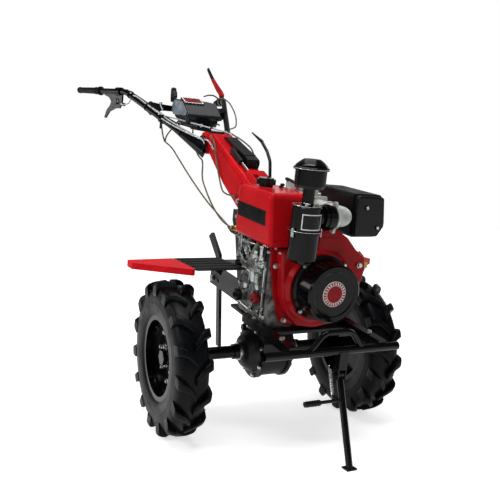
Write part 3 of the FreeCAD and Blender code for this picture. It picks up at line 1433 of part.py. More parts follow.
def depth_stake():
    """The flat drag stake through the hitch, its foot trailing and its head curved back."""
    half, width = size("stake_sheet") / 2, size("stake_width")
    x = size("hitch_rear") + 21
    lean = math.tan(math.radians(size("park_pitch")))
    low, slot, top = -136, size("hitch_bottom"), size("hitch_bottom") + size("hitch_height")
    foot = x + (slot - low) * lean + 4
    front = [Vector(foot + width, -half, low), Vector(x + width, -half, slot),
             Vector(x + width - 7, -half, top), Vector(x + width - 24, -half, 222),
             Vector(x + width - 116, -half, 292)]
    rear = [Vector(x - 116, -half, 272), Vector(x - 28, -half, 206), Vector(x - 8, -half, top),
            Vector(x, -half, slot), Vector(foot, -half, low)]
    face = Part.Face(Part.makePolygon(front + rear + front[:1]))
    return shaped("depth_stake_body", face.extrude(Y_AXIS * 2 * half))


on_machine("hitch_bracket", hitch_bracket())
on_machine("stake_clamp", stake_clamp())
on_machine("depth_stake", depth_stake())

# ---------------------------------------------------------------- checks and files

doc.recompute()
for item in doc.Objects:
    if {"Invalid", "Error"} & set(item.State):
        raise RuntimeError(f"{item.Label} did not build: {item.State}")
os.makedirs("parts", exist_ok=True)
for name, item in pieces.items():
    shape = item.Shape
    if shape.isNull() or not shape.isValid() or shape.Volume <= 0:
        raise RuntimeError(f"{name} has no valid solid")
    shape.exportStep(f"parts/{name}.step")
    print(f"{name}: {len(shape.Solids)} solid(s), {shape.Volume / 1000:.1f} cm3")
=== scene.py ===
import json
import math

import bmesh
import bpy
import numpy as np
from mathutils import Matrix, Vector


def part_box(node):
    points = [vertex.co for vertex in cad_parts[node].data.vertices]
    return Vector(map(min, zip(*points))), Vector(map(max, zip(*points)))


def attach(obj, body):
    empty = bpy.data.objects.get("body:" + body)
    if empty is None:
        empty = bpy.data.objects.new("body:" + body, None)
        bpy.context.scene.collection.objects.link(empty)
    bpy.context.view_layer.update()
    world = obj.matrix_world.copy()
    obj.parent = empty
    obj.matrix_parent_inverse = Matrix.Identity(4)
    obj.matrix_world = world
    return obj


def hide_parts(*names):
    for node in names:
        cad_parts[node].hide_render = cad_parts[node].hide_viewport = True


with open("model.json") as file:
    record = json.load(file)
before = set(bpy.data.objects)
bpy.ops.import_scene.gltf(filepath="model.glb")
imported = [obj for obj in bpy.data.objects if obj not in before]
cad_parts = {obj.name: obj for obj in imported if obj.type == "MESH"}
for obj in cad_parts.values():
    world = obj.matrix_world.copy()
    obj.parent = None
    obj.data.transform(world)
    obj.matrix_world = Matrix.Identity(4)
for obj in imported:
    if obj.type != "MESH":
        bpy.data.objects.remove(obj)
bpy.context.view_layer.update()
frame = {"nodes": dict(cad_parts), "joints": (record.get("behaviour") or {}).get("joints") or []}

scene = bpy.context.scene
nodes = frame["nodes"]

# ---------------------------------------------------------------- camera
# The lens stands at the machine's right front, a little above the engine, and looks back along
# it. Its place is forward of the axle, across from the middle and up from the floor.

axle = Vector({joint["name"]: joint for joint in frame["joints"]}["wheel_left_spin"]["pos_m"])
lens = bpy.data.cameras.new("camera")
lens.lens = 46.447
camera = bpy.data.objects.new("camera", lens)
scene.collection.objects.link(camera)
rightward = Vector((0.43784, 0.89880, 0.02125))
upward = Vector((-0.06662, 0.00886, 0.99774))
backward = Vector((0.89658, -0.43826, 0.06376))
camera.matrix_world = Matrix(((rightward.x, upward.x, backward.x, axle.x + 1.922),
                              (rightward.y, upward.y, backward.y, -1.006),
                              (rightward.z, upward.z, backward.z, 0.720), (0, 0, 0, 1)))
scene.camera = camera

# ---------------------------------------------------------------- studio
# A pale matt floor and a white backdrop behind the machine, with a dimmer room all round so that
# blacks stay black; the key lamp is at the machine's right, with soft boxes over it.


def linear(colour):
    """An sRGB hex colour as linear light: ((c + 0.055) / 1.055) ** 2.4 above the toe."""
    parts = [int(colour[i:i + 2], 16) / 255 for i in (0, 2, 4)]
    return tuple(c / 12.92 if c <= 0.04045 else ((c + 0.055) / 1.055) ** 2.4 for c in parts) + (1,)


def add(tree, kind, inputs=None, **settings):
    """A new node; inputs holds, for each socket, a value or another node's output.

    A Mix node's sockets 2 and 3 are its two numbers, and 6 and 7 its two colours.
    """
    item = tree.nodes.new(kind)
    for name, value in settings.items():
        setattr(item, name, value)
    for socket, value in (inputs or {}).items():
        if isinstance(value, bpy.types.NodeSocket):
            tree.links.new(value, item.inputs[socket])
        else:
            item.inputs[socket].default_value = value
    return item


BACKDROP_WAY = (-0.897, 0.438, -0.064)    # where the backdrop's middle lies
ROOM_DIFFUSE = 0.3                        # the room's light on matt surfaces, white being 1
FLOOR_MIRRORED = 0.3                      # the floor's own light where a surface mirrors it

world = bpy.data.worlds.new("studio")
world.use_nodes = True
sky = world.node_tree
sky.nodes.clear()
ray = add(sky, "ShaderNodeLightPath")
way = add(sky, "ShaderNodeTexCoord").outputs["Generated"]
towards = add(sky, "ShaderNodeVectorMath", {0: way, 1: BACKDROP_WAY}, operation="DOT_PRODUCT")
room = add(sky, "ShaderNodeMapRange", {"Value": towards.outputs["Value"], "From Min": 0.2,
                                       "From Max": 0.85, "To Min": 0.06, "To Max": 0.2})
backdrop = add(sky, "ShaderNodeMapRange", {"Value": towards.outputs["Value"], "From Min": 0.88,
                                           "From Max": 0.97, "To Min": 0.0, "To Max": 0.7})
mirrored = add(sky, "ShaderNodeMath", {0: room.outputs[0], 1: backdrop.outputs[0]})
gloss = add(sky, "ShaderNodeMath", {0: ray.outputs["Is Glossy Ray"],
                                    1: ray.outputs["Is Transmission Ray"]}, operation="MAXIMUM")
unseen = add(sky, "ShaderNodeMix", {0: gloss.outputs[0], 2: ROOM_DIFFUSE, 3: mirrored.outputs[0]})
level = add(sky, "ShaderNodeMix", {0: ray.outputs["Is Camera Ray"], 2: unseen.outputs[0], 3: 1.0})
light = add(sky, "ShaderNodeBackground", {"Color": (1, 1, 1, 1), "Strength": level.outputs[0]})
add(sky, "ShaderNodeOutputWorld", {"Surface": light.outputs[0]})
scene.world = world
scene.view_settings.view_transform = "Standard"

# Name, place, width, height and watts of each lamp; all of them face the gearbox.
SOFT_BOXES = (("overhead", (0.2, 0.2, 3.1), 2.2, 1.6, 24),
              ("key", (0.1, -3.4, 2.2), 1.0, 0.9, 44),
              ("overhead_strip", (1.0, -0.6, 2.7), 1.9, 0.2, 22),
              ("strip", (2.4, -2.3, 1.5), 0.3, 1.4, 5),
              ("front", (3.4, 1.3, 1.5), 1.4, 1.4, 1.5),
              ("left_side", (-0.9, 3.2, 1.7), 1.6, 1.2, 9),
              ("rear_right", (-2.2, -2.6, 1.4), 0.9, 0.7, 6))
LIT_PLACE = Vector((0.1, 0, 0.45))
for name, place, width, height, power in SOFT_BOXES:
    lamp = bpy.data.lights.new(name, "AREA")
    lamp.shape = "RECTANGLE"
    lamp.size = width
    lamp.size_y = height
    lamp.energy = power
    holder = bpy.data.objects.new(name, lamp)
    turned = (LIT_PLACE - Vector(place)).to_track_quat("-Z", "Y").to_matrix().to_4x4()
    holder.matrix_world = Matrix.Translation(place) @ turned
    scene.collection.objects.link(holder)

# The floor is white to the camera away from the machine, and keeps its shadow near it.
bpy.ops.mesh.primitive_plane_add(size=40, location=(0, 0, 0))
floor = bpy.context.object
floor.name = "floor"
matt = bpy.data.materials.new("pale_floor")
matt.use_nodes = True
tree = matt.node_tree
tree.nodes.clear()
ray = add(tree, "ShaderNodeLightPath")
spot = add(tree, "ShaderNodeTexCoord").outputs["Object"]
away = add(tree, "ShaderNodeVectorMath", {0: spot}, operation="LENGTH")
fade = add(tree, "ShaderNodeMapRange", {"Value": away.outputs["Value"], "From Min": 0.7,
                                        "From Max": 2.6, "To Min": 0.62, "To Max": 1.0})
gloss = add(tree, "ShaderNodeMath", {0: ray.outputs["Is Glossy Ray"],
                                     1: ray.outputs["Is Transmission Ray"]}, operation="MAXIMUM")
mirrored = add(tree, "ShaderNodeMath", {0: gloss.outputs[0], 1: FLOOR_MIRRORED},
               operation="MULTIPLY")
glow = add(tree, "ShaderNodeMix", {0: ray.outputs["Is Camera Ray"], 2: mirrored.outputs[0],
                                   3: fade.outputs[0]})
paper = add(tree, "ShaderNodeBsdfDiffuse", {"Color": linear("f4f4f3")})
shine = add(tree, "ShaderNodeEmission", {"Color": (1, 1, 1, 1), "Strength": glow.outputs[0]})
lit = add(tree, "ShaderNodeAddShader", {0: paper.outputs[0], 1: shine.outputs[0]})
add(tree, "ShaderNodeOutputMaterial", {"Surface": lit.outputs[0]})
floor.data.materials.append(matt)

# ---------------------------------------------------------------- tyres
# Two 4.00-10 lug tyres of moulded black rubber: a smooth carcass with ribbed sidewalls, fifteen
# slanted bars on each half of the tread, curved down over the shoulders, and moulding hairs.

SIDES = {"right": -1, "left": 1}
PITCH = math.radians(9.5)    # the machine parks nose down by this much
TIP, SIDE = 246, 52.5        # the bars' outer radius, and half the carcass's width
TRACK = 681                  # between the two wheels' middles
BARS = 15                    # on each half of a tread
STEP = math.pi / BARS        # from one bar to the next, taking the two halves in turn
CREASE = math.radians(38)    # an edge that bends more than this is shaded sharp


def parked(points):
    """Machine millimetres from the axle's middle, turned nose down about the axle, in metres."""
    x, y, z = np.moveaxis(np.asarray(points, float) / 1000, -1, 0)
    return np.stack((x * math.cos(PITCH) + z * math.sin(PITCH) + axle.x, y,
                     z * math.cos(PITCH) - x * math.sin(PITCH) + axle.z), -1)


def add_piece(name, sheets, material, body):
    """One object from grids of points in metres.

    A sheet is (points, closed across, closed along); corners (i, j), (i + 1, j), (i + 1, j + 1)
    and (i, j + 1) make a face, poles are merged, and faces are turned outwards.
    """
    spots, faces, first = [], [], 0
    for points, closed_across, closed_along in sheets:
        rows, columns = points.shape[:2]
        i, j = np.meshgrid(np.arange(rows - (not closed_across)),
                           np.arange(columns - (not closed_along)), indexing="ij")
        below, beside = (i + 1) % rows, (j + 1) % columns
        corners = (i * columns + j, below * columns + j, below * columns + beside,
                   i * columns + beside)
        faces.append(first + np.stack(corners, -1).reshape(-1, 4))
        spots.append(points.reshape(-1, 3))
        first += rows * columns
    mesh = bpy.data.meshes.new(name)
    mesh.from_pydata(np.concatenate(spots).tolist(), [], np.concatenate(faces).tolist())
    loose = bmesh.new()
    loose.from_mesh(mesh)
    bmesh.ops.remove_doubles(loose, verts=loose.verts, dist=2e-6)
    bmesh.ops.recalc_face_normals(loose, faces=loose.faces)
    loose.to_mesh(mesh)
    loose.free()
    mesh.shade_smooth()
    mesh.set_sharp_from_angle(angle=CREASE)
    mesh.materials.append(material)
    piece = bpy.data.objects.new(name, mesh)
    scene.collection.objects.link(piece)
    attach(piece, body)
    return piece


def coat(name, light, dark, patch_mm, grain_mm, grain_depth_mm, smooth, rough, specular=0.5,
         metallic=0.0):
    """A finish with real wear: soft patches of tone, and a fine grain in its height and gloss.

    Tone mixes dark and light by noise of patch_mm; roughness runs from smooth to rough by the
    same noise; height follows noise of grain_mm, grain_depth_mm deep.
    """
    made = bpy.data.materials.new(name)
    made.use_nodes = True
    tree = made.node_tree
    tree.nodes.clear()
    place = add(tree, "ShaderNodeTexCoord").outputs["Object"]
    patch = add(tree, "ShaderNodeTexNoise", {"Vector": place, "Scale": 1000 / patch_mm,
                                             "Detail": 4.0, "Roughness": 0.6})
    grain = add(tree, "ShaderNodeTexNoise", {"Vector": place, "Scale": 1000 / grain_mm,
                                             "Detail": 3.0})
    share = add(tree, "ShaderNodeMapRange", {"Value": patch.outputs["Fac"], "From Min": 0.34,
                                             "From Max": 0.66})
    tone = add(tree, "ShaderNodeMix", {0: share.outputs[0], 6: linear(dark), 7: linear(light)},
               data_type="RGBA")
    gloss = add(tree, "ShaderNodeMapRange", {"Value": patch.outputs["Fac"], "From Min": 0.3,
                                             "From Max": 0.7, "To Min": smooth, "To Max": rough})
    height = add(tree, "ShaderNodeBump", {"Height": grain.outputs["Fac"], "Strength": 0.6,
                                          "Distance": grain_depth_mm / 1000})
    surface = add(tree, "ShaderNodeBsdfPrincipled",
                  {"Base Color": tone.outputs[2], "Roughness": gloss.outputs[0],
                   "Normal": height.outputs[0], "Specular IOR Level": specular,
                   "Metallic": metallic})
    add(tree, "ShaderNodeOutputMaterial", {"Surface": surface.outputs[0]})
    return made


def wheel_place(angle, across, radius, side):
    """A wheel's point: angle from straight down towards the front, across away from the machine."""
    return np.stack(((radius * np.sin(angle)) / 1000 + axle.x,
                     side * (TRACK / 2 + across) / 1000 + 0 * angle,
                     axle.z - radius * np.cos(angle) / 1000), -1)


def carcass(side):
    """The tyre's section carried round the axle; small waves make the sidewall's ribs."""
    half = np.array([(40, 124), (43, 130), (44.5, 137), (47, 141), (49.2, 146), (49.6, 149),
                     (50.6, 152), (51.5, 158), (52, 164), (52.3, 168), (53.1, 171), (52.5, 174),
                     (52.6, 182), (52, 192), (50, 204), (46.5, 214), (42, 221), (35, 226),
                     (26, 229), (14, 230)], float)
    section = np.concatenate((half, [(0, 230.4)], half[::-1] * (-1, 1)))
    angle = np.linspace(0, 2 * np.pi, 180, endpoint=False)[:, None]
    return wheel_place(angle, section[None, :, 0], section[None, :, 1], side), True, False


def bars(side, half):
    """Bars as rounded ridges: along runs from the tread's middle over the shoulder.

    At each place the ridge stands on the carcass with a half width and a height; its section is
    a superellipse, (cos a)^(1/3) wide and (sin a)^(1/3) tall, and both shrink to round its ends.
    """
    along = np.linspace(0, 1, 30)
    line = np.array([(0, -3, 226), (0.3, 12, 226), (0.55, 26, 226), (0.72, 37, 222),
                     (0.84, 44, 214), (0.93, 47, 203), (1, 48.5, 192)])
    middle = np.interp(along, line[:, 0], line[:, 1])
    foot = np.interp(along, line[:, 0], line[:, 2])
    lean = np.interp(along, (0, 0.55, 0.72, 0.84, 1), (0, 0, 0.42, 1.0, 1.4))
    tall = np.interp(along, (0, 0.55, 0.72, 0.84, 0.93, 1), (20, 20, 21, 21, 14, 6))
    wide = np.interp(along, (0, 0.2, 0.6, 0.85, 1), (11, 12.5, 13, 15.5, 17))
    ends = (1 - (1 - np.clip(along / 0.1, 0, 1)) ** 3) ** (1 / 3)
    ends *= (1 - (1 - np.clip((1 - along) / 0.07, 0, 1)) ** 3) ** (1 / 3)
    turn = np.linspace(0, np.pi, 15)
    width = (np.sign(np.cos(turn)) * np.abs(np.cos(turn)) ** (1 / 3))[None] * (wide * ends)[:, None]
    height = (np.sin(turn) ** (1 / 3))[None] * (tall * ends)[:, None]
    share = np.clip((middle + 3) / 49.5, 0, 1)[:, None]
    radius = np.minimum(foot[:, None] + height * np.cos(lean)[:, None], TIP)
    sideways = np.minimum(middle[:, None] + height * np.sin(lean)[:, None], SIDE + 1.4)
    swing = STEP * (share + 0.10 * np.sin(np.pi * share)) + width / radius
    starts = side * (2 * STEP * np.arange(BARS) + (0 if half > 0 else STEP))
    return [(wheel_place(start + swing, half * sideways, radius, side), False, False)
            for start in starts]


def carried(path, radius, steps=12, closed=False):
    """A round section carried along a path: each ring is square to the path's own direction."""
    path = np.asarray(path, float)
    way = np.gradient(path, axis=0)
    way /= np.linalg.norm(way, axis=1)[:, None]
    guide = np.where(np.abs(way[:, 2:]) < 0.95, (0, 0, 1), (1, 0, 0))
    first = np.cross(guide, way)
    first /= np.linalg.norm(first, axis=1)[:, None]
    second = np.cross(way, first)
    turn = np.linspace(0, 2 * np.pi, steps, endpoint=False)[None, :, None]
    ring = (first[:, None] * np.cos(turn) + second[:, None] * np.sin(turn)) * radius
    rings = path[:, None] + ring
    if not closed:
        rings = np.concatenate((path[:1, None] + 0 * ring[:1], rings,
                                path[-1:, None] + 0 * ring[:1]))
    return rings, closed, True


def hairs(side):
    """Sixty moulding hairs on the shoulders, spread round the tyre by the golden angle.

    A hair's path climbs from its foot on the carcass by length t, and drifts outwards by
    0.3 length t^2, for t from 0 to 1.
    """
    number = np.arange(60)
    across = 34 + 14 * (number * 0.755 % 1)
    length = 9 + 7 * (number * 0.569 % 1)
    t = np.linspace(0, 1, 5)[:, None]
    foot = np.interp(across, (34, 42, 46.5, 50), (225, 220, 213, 203))
    drift = np.where(number % 2, 1, -1) * np.minimum(across + 0.3 * length * t ** 2, SIDE)
    paths = wheel_place(number * 2.39996 + 0.02 * t, drift, np.minimum(foot + length * t, TIP), side)
    return [carried(paths[:, one], 0.0006, 5) for one in number]


# Vulcanised rubber: matt, near black, with a grey bloom and a fine mould grain.
tyre_rubber = coat("vulcanised_rubber", "0d0f12", "050608", 46, 3.2, 0.3, 0.26, 0.48, 0.12)

for name, side in SIDES.items():
    tyre = add_piece(f"tyre_rubber_{name}", [carcass(side)] + bars(side, 1) + bars(side, -1),
                     tyre_rubber, f"wheel_{name}")
    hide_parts(f"tyre_{name}")
    add_piece(f"mould_hairs_{name}", hairs(side), tyre_rubber, f"wheel_{name}")

# ---------------------------------------------------------------- rims, hubs and wheel bolts
# Pressed steel rims in black enamel, bolted to the hub flange by bright hexagon bolts on
# washers, eight through the disc and five round the hub, with a castle nut and a rubber valve.

REAR, FRONT = (-1, 0, 0), (1, 0, 0)
RIGHT, LEFT = (0, -1, 0), (0, 1, 0)
UP, DOWN = (0, 0, 1), (0, 0, -1)


def frame_about(way):
    """A way and two directions square to it, all unit vectors: guide x way, then way x that."""
    way = np.asarray(way, float) / np.linalg.norm(way)
    guide = UP if abs(way[2]) < 0.9 else FRONT
    first = np.cross(guide, way)
    first /= np.linalg.norm(first)
    return way, first, np.cross(way, first)


def spun(profile, origin, way, steps=28, swell=None):
    """A profile of (along, radius) turned once about a way through origin, all in millimetres.

    The point is origin + along way + radius s(a) (cos a, sin a); s is 1, or swell(a).
    """
    profile = np.asarray(profile, float)
    way, first, second = frame_about(way)
    turn = np.linspace(0, 2 * np.pi, steps, endpoint=False)
    reach = profile[None, :, 1] * (1 if swell is None else swell(turn)[:, None])
    points = (np.asarray(origin, float) + profile[None, :, :1] * way
              + (reach * np.cos(turn)[:, None])[..., None] * first
              + (reach * np.sin(turn)[:, None])[..., None] * second)
    return points, True, False


def disc(radius, low, high):
    """The profile of a plain round boss from low to high."""
    return [(low, 0), (low, radius), (high, radius), (high, 0)]


def six_sided(turn):
    """How far a hexagon of half-width 1 reaches at a turn: 1 / cos of the turn from a flat."""
    return 1 / np.cos((turn + np.pi / 6) % (np.pi / 3) - np.pi / 6)


def around(count, start=0.0):
    """Even turns round a circle in radians, from start in degrees."""
    return np.radians(start + 360 / count * np.arange(count))


def bolts(places, way, flats, tall=None):
    """At each place a chamfered hexagon head on a round washer: two turned profiles."""
    tall = tall or flats * 0.62
    half = flats / 2
    washer = [(-1, 0), (-1, half * 1.35), (1.4, half * 1.35), (1.8, half * 1.25), (1.8, 0)]
    head = [(0, 0), (0, half), (tall - half * 0.18, half), (tall, half * 0.84), (tall, 0)]
    sheets = []
    for place in places:
        sheets += [spun(washer, place, way, 20), spun(head, place, way, 24, six_sided)]
    return sheets


def fitted(name, sheets, material, body="chassis", place=parked):
    """A piece from sheets in a body's millimetres, put in its place."""
    piece = add_piece(name, [(place(points), closed_across, closed_along)
                             for points, closed_across, closed_along in sheets], material, body)
    return piece


def at_wheel(side):
    """Wheel millimetres, with +y away from the machine, to metres."""
    centre = np.array((axle.x, side * TRACK / 2000, axle.z))
    return lambda points: np.asarray(points) * (0.001, 0.001 * side, 0.001) + centre


def dress(material, *names):
    """Gives carried-over nodes their finish."""
    for name in names:
        nodes[name].data.materials.clear()
        nodes[name].data.materials.append(material)


# Baked enamel: near black, with a clear sheen that shows the press's slight waves.
rim_enamel = coat("gloss_black_enamel", "08090a", "040405", 60, 5, 0.04, 0.1, 0.2, 0.22)
# Zinc plate: a cool grey metal in brighter and duller patches.
zinc_plate = coat("zinc_plated_steel", "cfd4d4", "a4a9a6", 14, 1.6, 0.03, 0.22, 0.42, metallic=1.0)
# Machined metal: the brightest edges, with the cutter's fine marks.
machined = coat("machined_aluminium", "eef0ee", "b9bdb8", 9, 0.8, 0.05, 0.16, 0.34, metallic=0.9)

BOLT_RINGS = ((8, 84, 2.6, 12), (5, 50, 0.6, 14))    # how many, radius, height, width over flats
CASTLE_NUT = [(4, 0), (4, 26), (14, 24), (16, 21), (26, 20), (30, 13), (29, 9), (29, 0)]
VALVE = [(0, 0), (0, 5), (14, 4), (15, 3.4), (30, 3.2), (30, 4.2), (40, 4.2), (41, 3), (41, 0)]
for name, side in SIDES.items():
    wheel, place = f"wheel_{name}", at_wheel(side)
    dress(rim_enamel, f"rim_{name}", f"axle_sleeve_{name}")
    heads = []
    for count, ring, lift, flats in BOLT_RINGS:
        turn = around(count) + 0.2
        spots = np.stack((ring * np.sin(turn), lift + 0 * turn, ring * np.cos(turn)), -1)
        heads += bolts(spots, LEFT, flats)
    fitted(f"wheel_bolts_{name}", heads, machined, wheel, place)
    fitted(f"hub_cap_{name}", [spun(CASTLE_NUT, (0, 0, 0), LEFT, 36)], rim_enamel,
           wheel, place)
    fitted(f"tyre_valve_{name}", [spun(VALVE, (0, 10, 116), (0, 0.9, -0.5), 14)], tyre_rubber,
           wheel, place)

# ---------------------------------------------------------------- gearbox and clutch
# Iron castings in black paint: the upright gearbox over the final-drive drum, with bright seal
# carriers and flange bolts, and the clutch bell in front of it.

# Painted casting: a dull skin, slightly pitted, that breaks up the light.
casting_black = coat("painted_casting", "101112", "060707", 34, 2.2, 0.5, 0.3, 0.54, 0.34)
dress(casting_black, "gearbox_housing", "clutch_housing", "engine_base")
dress(zinc_plate, "seal_rings")
HALF_GEARBOX = 56    # across, to the flanges its bolts are on
HOUSING_BOLTS = ((-78, 120), (-96, 200), (-150, 260), (-196, 360), (-200, 420), (-92, 420),
                 (-78, 330), (-74, 240))
heads = []
for side in SIDES.values():
    heads += bolts([(82 * np.sin(turn), side * HALF_GEARBOX, 82 * np.cos(turn))
                    for turn in around(8, 22)], (0, side, 0), 11)
for side in SIDES.values():
    heads += bolts([(ahead, side * HALF_GEARBOX, up) for ahead, up in HOUSING_BOLTS],
                   (0, side, 0), 12)
heads += bolts([(-12, 30 + 88 * np.sin(turn), 290 + 88 * np.cos(turn)) for turn in around(8, 10)],
               REAR, 11)
fitted("gearbox_bolts", heads, zinc_plate)
plugs = bolts([(-60, -57, 60)], RIGHT, 22, 10) + bolts([(-216, 0, 440)], UP, 20, 16)
fitted("gearbox_plugs", plugs, casting_black)

# ---------------------------------------------------------------- crankcase and head
# Sand-cast aluminium with a rough skin in random dark and bright patches, the dark ones deep enough
# to serve as painted shade among the engine's parts, under a blasted rocker cover and intake elbow;
# zinc-plated hexagon bolts hold them and the covers on the right.

# Sand-cast metal: a coarse grey skin, with random dark patches between bright ones, made this dark
# as painted shade.
cast_skin_with_painted_shade = coat("sand_cast_with_painted_shade", "969a95", "383c3a", 26, 1.8, 0.8, 0.24, 0.55,
                      metallic=0.6)
# Blasted metal: pale, even and softly matt.
blasted = coat("blasted_aluminium", "d3d5d1", "a9aca8", 30, 1.2, 0.25, 0.3, 0.45, metallic=0.12)
dress(cast_skin_with_painted_shade, "crankcase", "cylinder_head")
dress(blasted, "rocker_cover", "intake_elbow")

BLOCK_FACE, COVER_FACE = -124, -126    # how far across the block's and side cover's faces are
HEAD_TOP, ROCKER_TOP, FEET_TOP = 545, 571, 179
COVER_BOLTS = ((22, 190), (98, 183), (107, 238), (88, 288), (34, 296), (16, 246))
BLOCK_BOLTS = ((97, 311), (148, 311), (186, 384), (180, 206), (180, 262), (180, 330), (76, 323),
               (148, 190), (188, 182), (12, 322))
heads = bolts([(ahead, COVER_FACE, up) for ahead, up in COVER_BOLTS], RIGHT, 10)
heads += bolts([(ahead, BLOCK_FACE, up) for ahead, up in BLOCK_BOLTS], RIGHT, 10)
heads += bolts([(ahead, across, HEAD_TOP) for across in (18, 80) for ahead in (-14, 98)], UP, 12)
heads += bolts([(20, 30, ROCKER_TOP), (76, 66, ROCKER_TOP)], UP, 15, 10)
heads += bolts([(298, 14, 473), (298, 14, 547)], LEFT, 9)
heads += bolts([(ahead, across, FEET_TOP) for ahead in (22, 170) for across in (-122, 154)], UP, 14)
heads += bolts([(203, -112, 399), (232, -112, 392)], RIGHT, 7)
fitted("engine_bolts", heads, zinc_plate)

# ---------------------------------------------------------------- side cover
# The bolted cover on the engine's right, with a red moulded knob on its oil filler and a black
# lobed plug over its shaft; bright metal strips along the edges of cover, block and foot are painted
# highlights where those edges catch the light, beside a machined ring nut and bosses.


def lobed(count, depth):
    """A swell with even lobes round a grip: 1 + depth cos(count a)."""
    return lambda turn: 1 + depth * np.cos(count * turn)


def rounded(wide, tall, radius, count=64):
    """A rounded rectangle: sign(cos a)(w / 2 - r) + r cos a, and the same with sin."""
    turn = (np.arange(count) + 0.5) * 2 * np.pi / count
    flat = np.stack((np.cos(turn), np.sin(turn)), -1)
    return np.sign(flat) * ((wide / 2 - radius), (tall / 2 - radius)) + radius * flat


def plate(outline, origin, right, up, thick, bevel):
    """A thin plate: its outline goes up to thick, in by the bevel, and shrinks to its middle."""
    right, up = (np.asarray(v, float) / np.linalg.norm(v) for v in (right, up))
    out = np.cross(right, up)
    reach = np.linalg.norm(outline, axis=1).mean()
    rings = np.array(((0, 0), (1, 0), (1, thick - bevel), (1 - bevel / reach, thick), (0, thick)))
    flat = outline[:, None] * rings[None, :, :1]
    return (np.asarray(origin, float) + flat[..., :1] * right + flat[..., 1:] * up
            + rings[None, :, 1:] * out), True, False


def eased(corners, count=60, closed=False):
    """A smooth path by the corners: Catmull-Rom, p(t) = (1, t, t^2, t^3) M (p0, p1, p2, p3)."""
    corners = np.asarray(corners, float)
    ends = (corners[-1:], corners[:2]) if closed else (corners[:1], corners[-1:])
    spots = np.concatenate((ends[0], corners, ends[1]))
    spans = len(spots) - 3
    along = np.linspace(0, spans, count, endpoint=not closed)
    first = np.minimum(along.astype(int), spans - 1)
    t = (along - first)[:, None]
    p0, p1, p2, p3 = (spots[first + k] for k in range(4))
    return 0.5 * (2 * p1 + (p2 - p0) * t + (2 * p0 - 5 * p1 + 4 * p2 - p3) * t ** 2
                  + (3 * p1 - p0 - 3 * p2 + p3) * t ** 3)


# Moulded plastics: a soft sheen under a fine, even mould grain; the black is barely grey.
red_plastic = coat("moulded_red_plastic", "8f1219", "5c0a0f", 20, 1.2, 0.1, 0.3, 0.46, 0.3)
moulded_black = coat("moulded_black_plastic", "101112", "08090a", 50, 1.2, 0.12, 0.32, 0.5, 0.3)

knob = [(0, 0), (0, 14), (3, 17), (14, 17), (17, 14), (17, 0)]
filler = [spun(disc(11, -2, 6), (148, COVER_FACE, 231), RIGHT),
          spun(knob, (148, -130, 231), RIGHT, 48, lobed(8, 0.06)),
          plate(rounded(27, 8, 3), (148, -147, 231), (1, 0, 0.5), (-0.5, 0, 1), 5, 1.5)]
fitted("oil_filler_knob", filler, red_plastic)
grip = [(0, 0), (0, 16), (3, 18.5), (13, 18.5), (16, 15), (16, 0)]
boss = [(15, 0), (15, 9), (22, 8), (24, 5), (24, 0)]
plug = [spun(grip, (52, -142, 215), RIGHT, 48, lobed(12, 0.045)),
        spun(boss, (52, -142, 215), RIGHT)]
fitted("side_cover_plug", plug, moulded_black)
COVER_EDGE = ((22, 187), (62, 181), (101, 180), (109, 208), (112, 239), (103, 268), (92, 291),
              (62, 298), (31, 299), (20, 273), (12, 245), (17, 215))
ring_nut = [(0, 6), (0, 15), (3, 17), (6, 17), (9, 14), (9, 7), (4, 6), (0, 6)]
# The cover's outline and the two straight lines are painted highlights: bright metal strips where
# those edges catch the light.
cover_highlight_line = eased([(ahead, COVER_FACE - 0.5, up) for ahead, up in COVER_EDGE], 160, True)
highlight_strips_and_nut = [carried(cover_highlight_line, 2.2, 8, True),
          carried([(ahead, COVER_FACE - 0.5, 180) for ahead in (4, 60, 120, 186)], 1.6, 8),
          carried([(167, BLOCK_FACE - 0.5, up) for up in (184, 290, 396)], 1.5, 8),
          spun(ring_nut, (153, BLOCK_FACE, 343), RIGHT, 60, lobed(15, 0.05)),
          spun([(0, 0), (0, 5), (13, 5), (14, 4), (14, 0)], (153, BLOCK_FACE, 343), RIGHT),
          spun([(0, 0), (0, 21), (2.5, 21), (3.5, 19.5), (3.5, 0)], (66, COVER_FACE, 250), RIGHT,
               40)]
fitted("highlight_strips_and_machined_nut", highlight_strips_and_nut, machined)

# ---------------------------------------------------------------- injection pump
# A zinc-plated pump with its unions, pipes and governor spring, grey rubber fuel hoses that are
# pushed over them, and black enamelled trim: round covers, a small plate and two pipes, dark shapes
# that also deepen the shade among the parts, before a black back plate that is painted shade, a dark
# sheet where the recess under the tank lies in shadow.


def hose(corners, radius, count, steps):
    """A round hose along the smooth path by its corners."""
    return carried(eased(corners, count), radius, steps)


def loop(centre, first, second, count):
    """A closed path of even turns: centre + first cos a + second sin a."""
    turn = around(count)[:, None]
    return np.asarray(centre, float) + np.cos(turn) * first + np.sin(turn) * second


def coil(start, end, radius, wire, turns):
    """A tension spring with a straight hook at each end: start + along + r (cos, sin)."""
    start, end = np.asarray(start, float), np.asarray(end, float)
    way, first, second = frame_about(end - start)
    run = np.linspace(0, 1, turns * 14 + 20)[:, None]
    angle = 2 * np.pi * turns * np.clip((run - 0.12) / 0.76, 0, 1)
    reach = radius * np.clip(np.minimum(run, 1 - run) / 0.12, 0, 1) ** 0.5
    path = start + (end - start) * run + reach * (first * np.cos(angle) + second * np.sin(angle))
    return carried(path, wire, 6)


# Grey rubber hose: flat and dusty, without a highlight.
grey_hose = coat("grey_fuel_hose", "74776f", "474a45", 14, 1.4, 0.15, 0.45, 0.65)
# Satin enamel: black with one broad soft gleam.
black_enamel = coat("satin_black_enamel", "090a0b", "040505", 80, 4, 0.05, 0.12, 0.24, 0.27)
dress(zinc_plate, "injection_pump", "governor_lever", "fuel_lines")

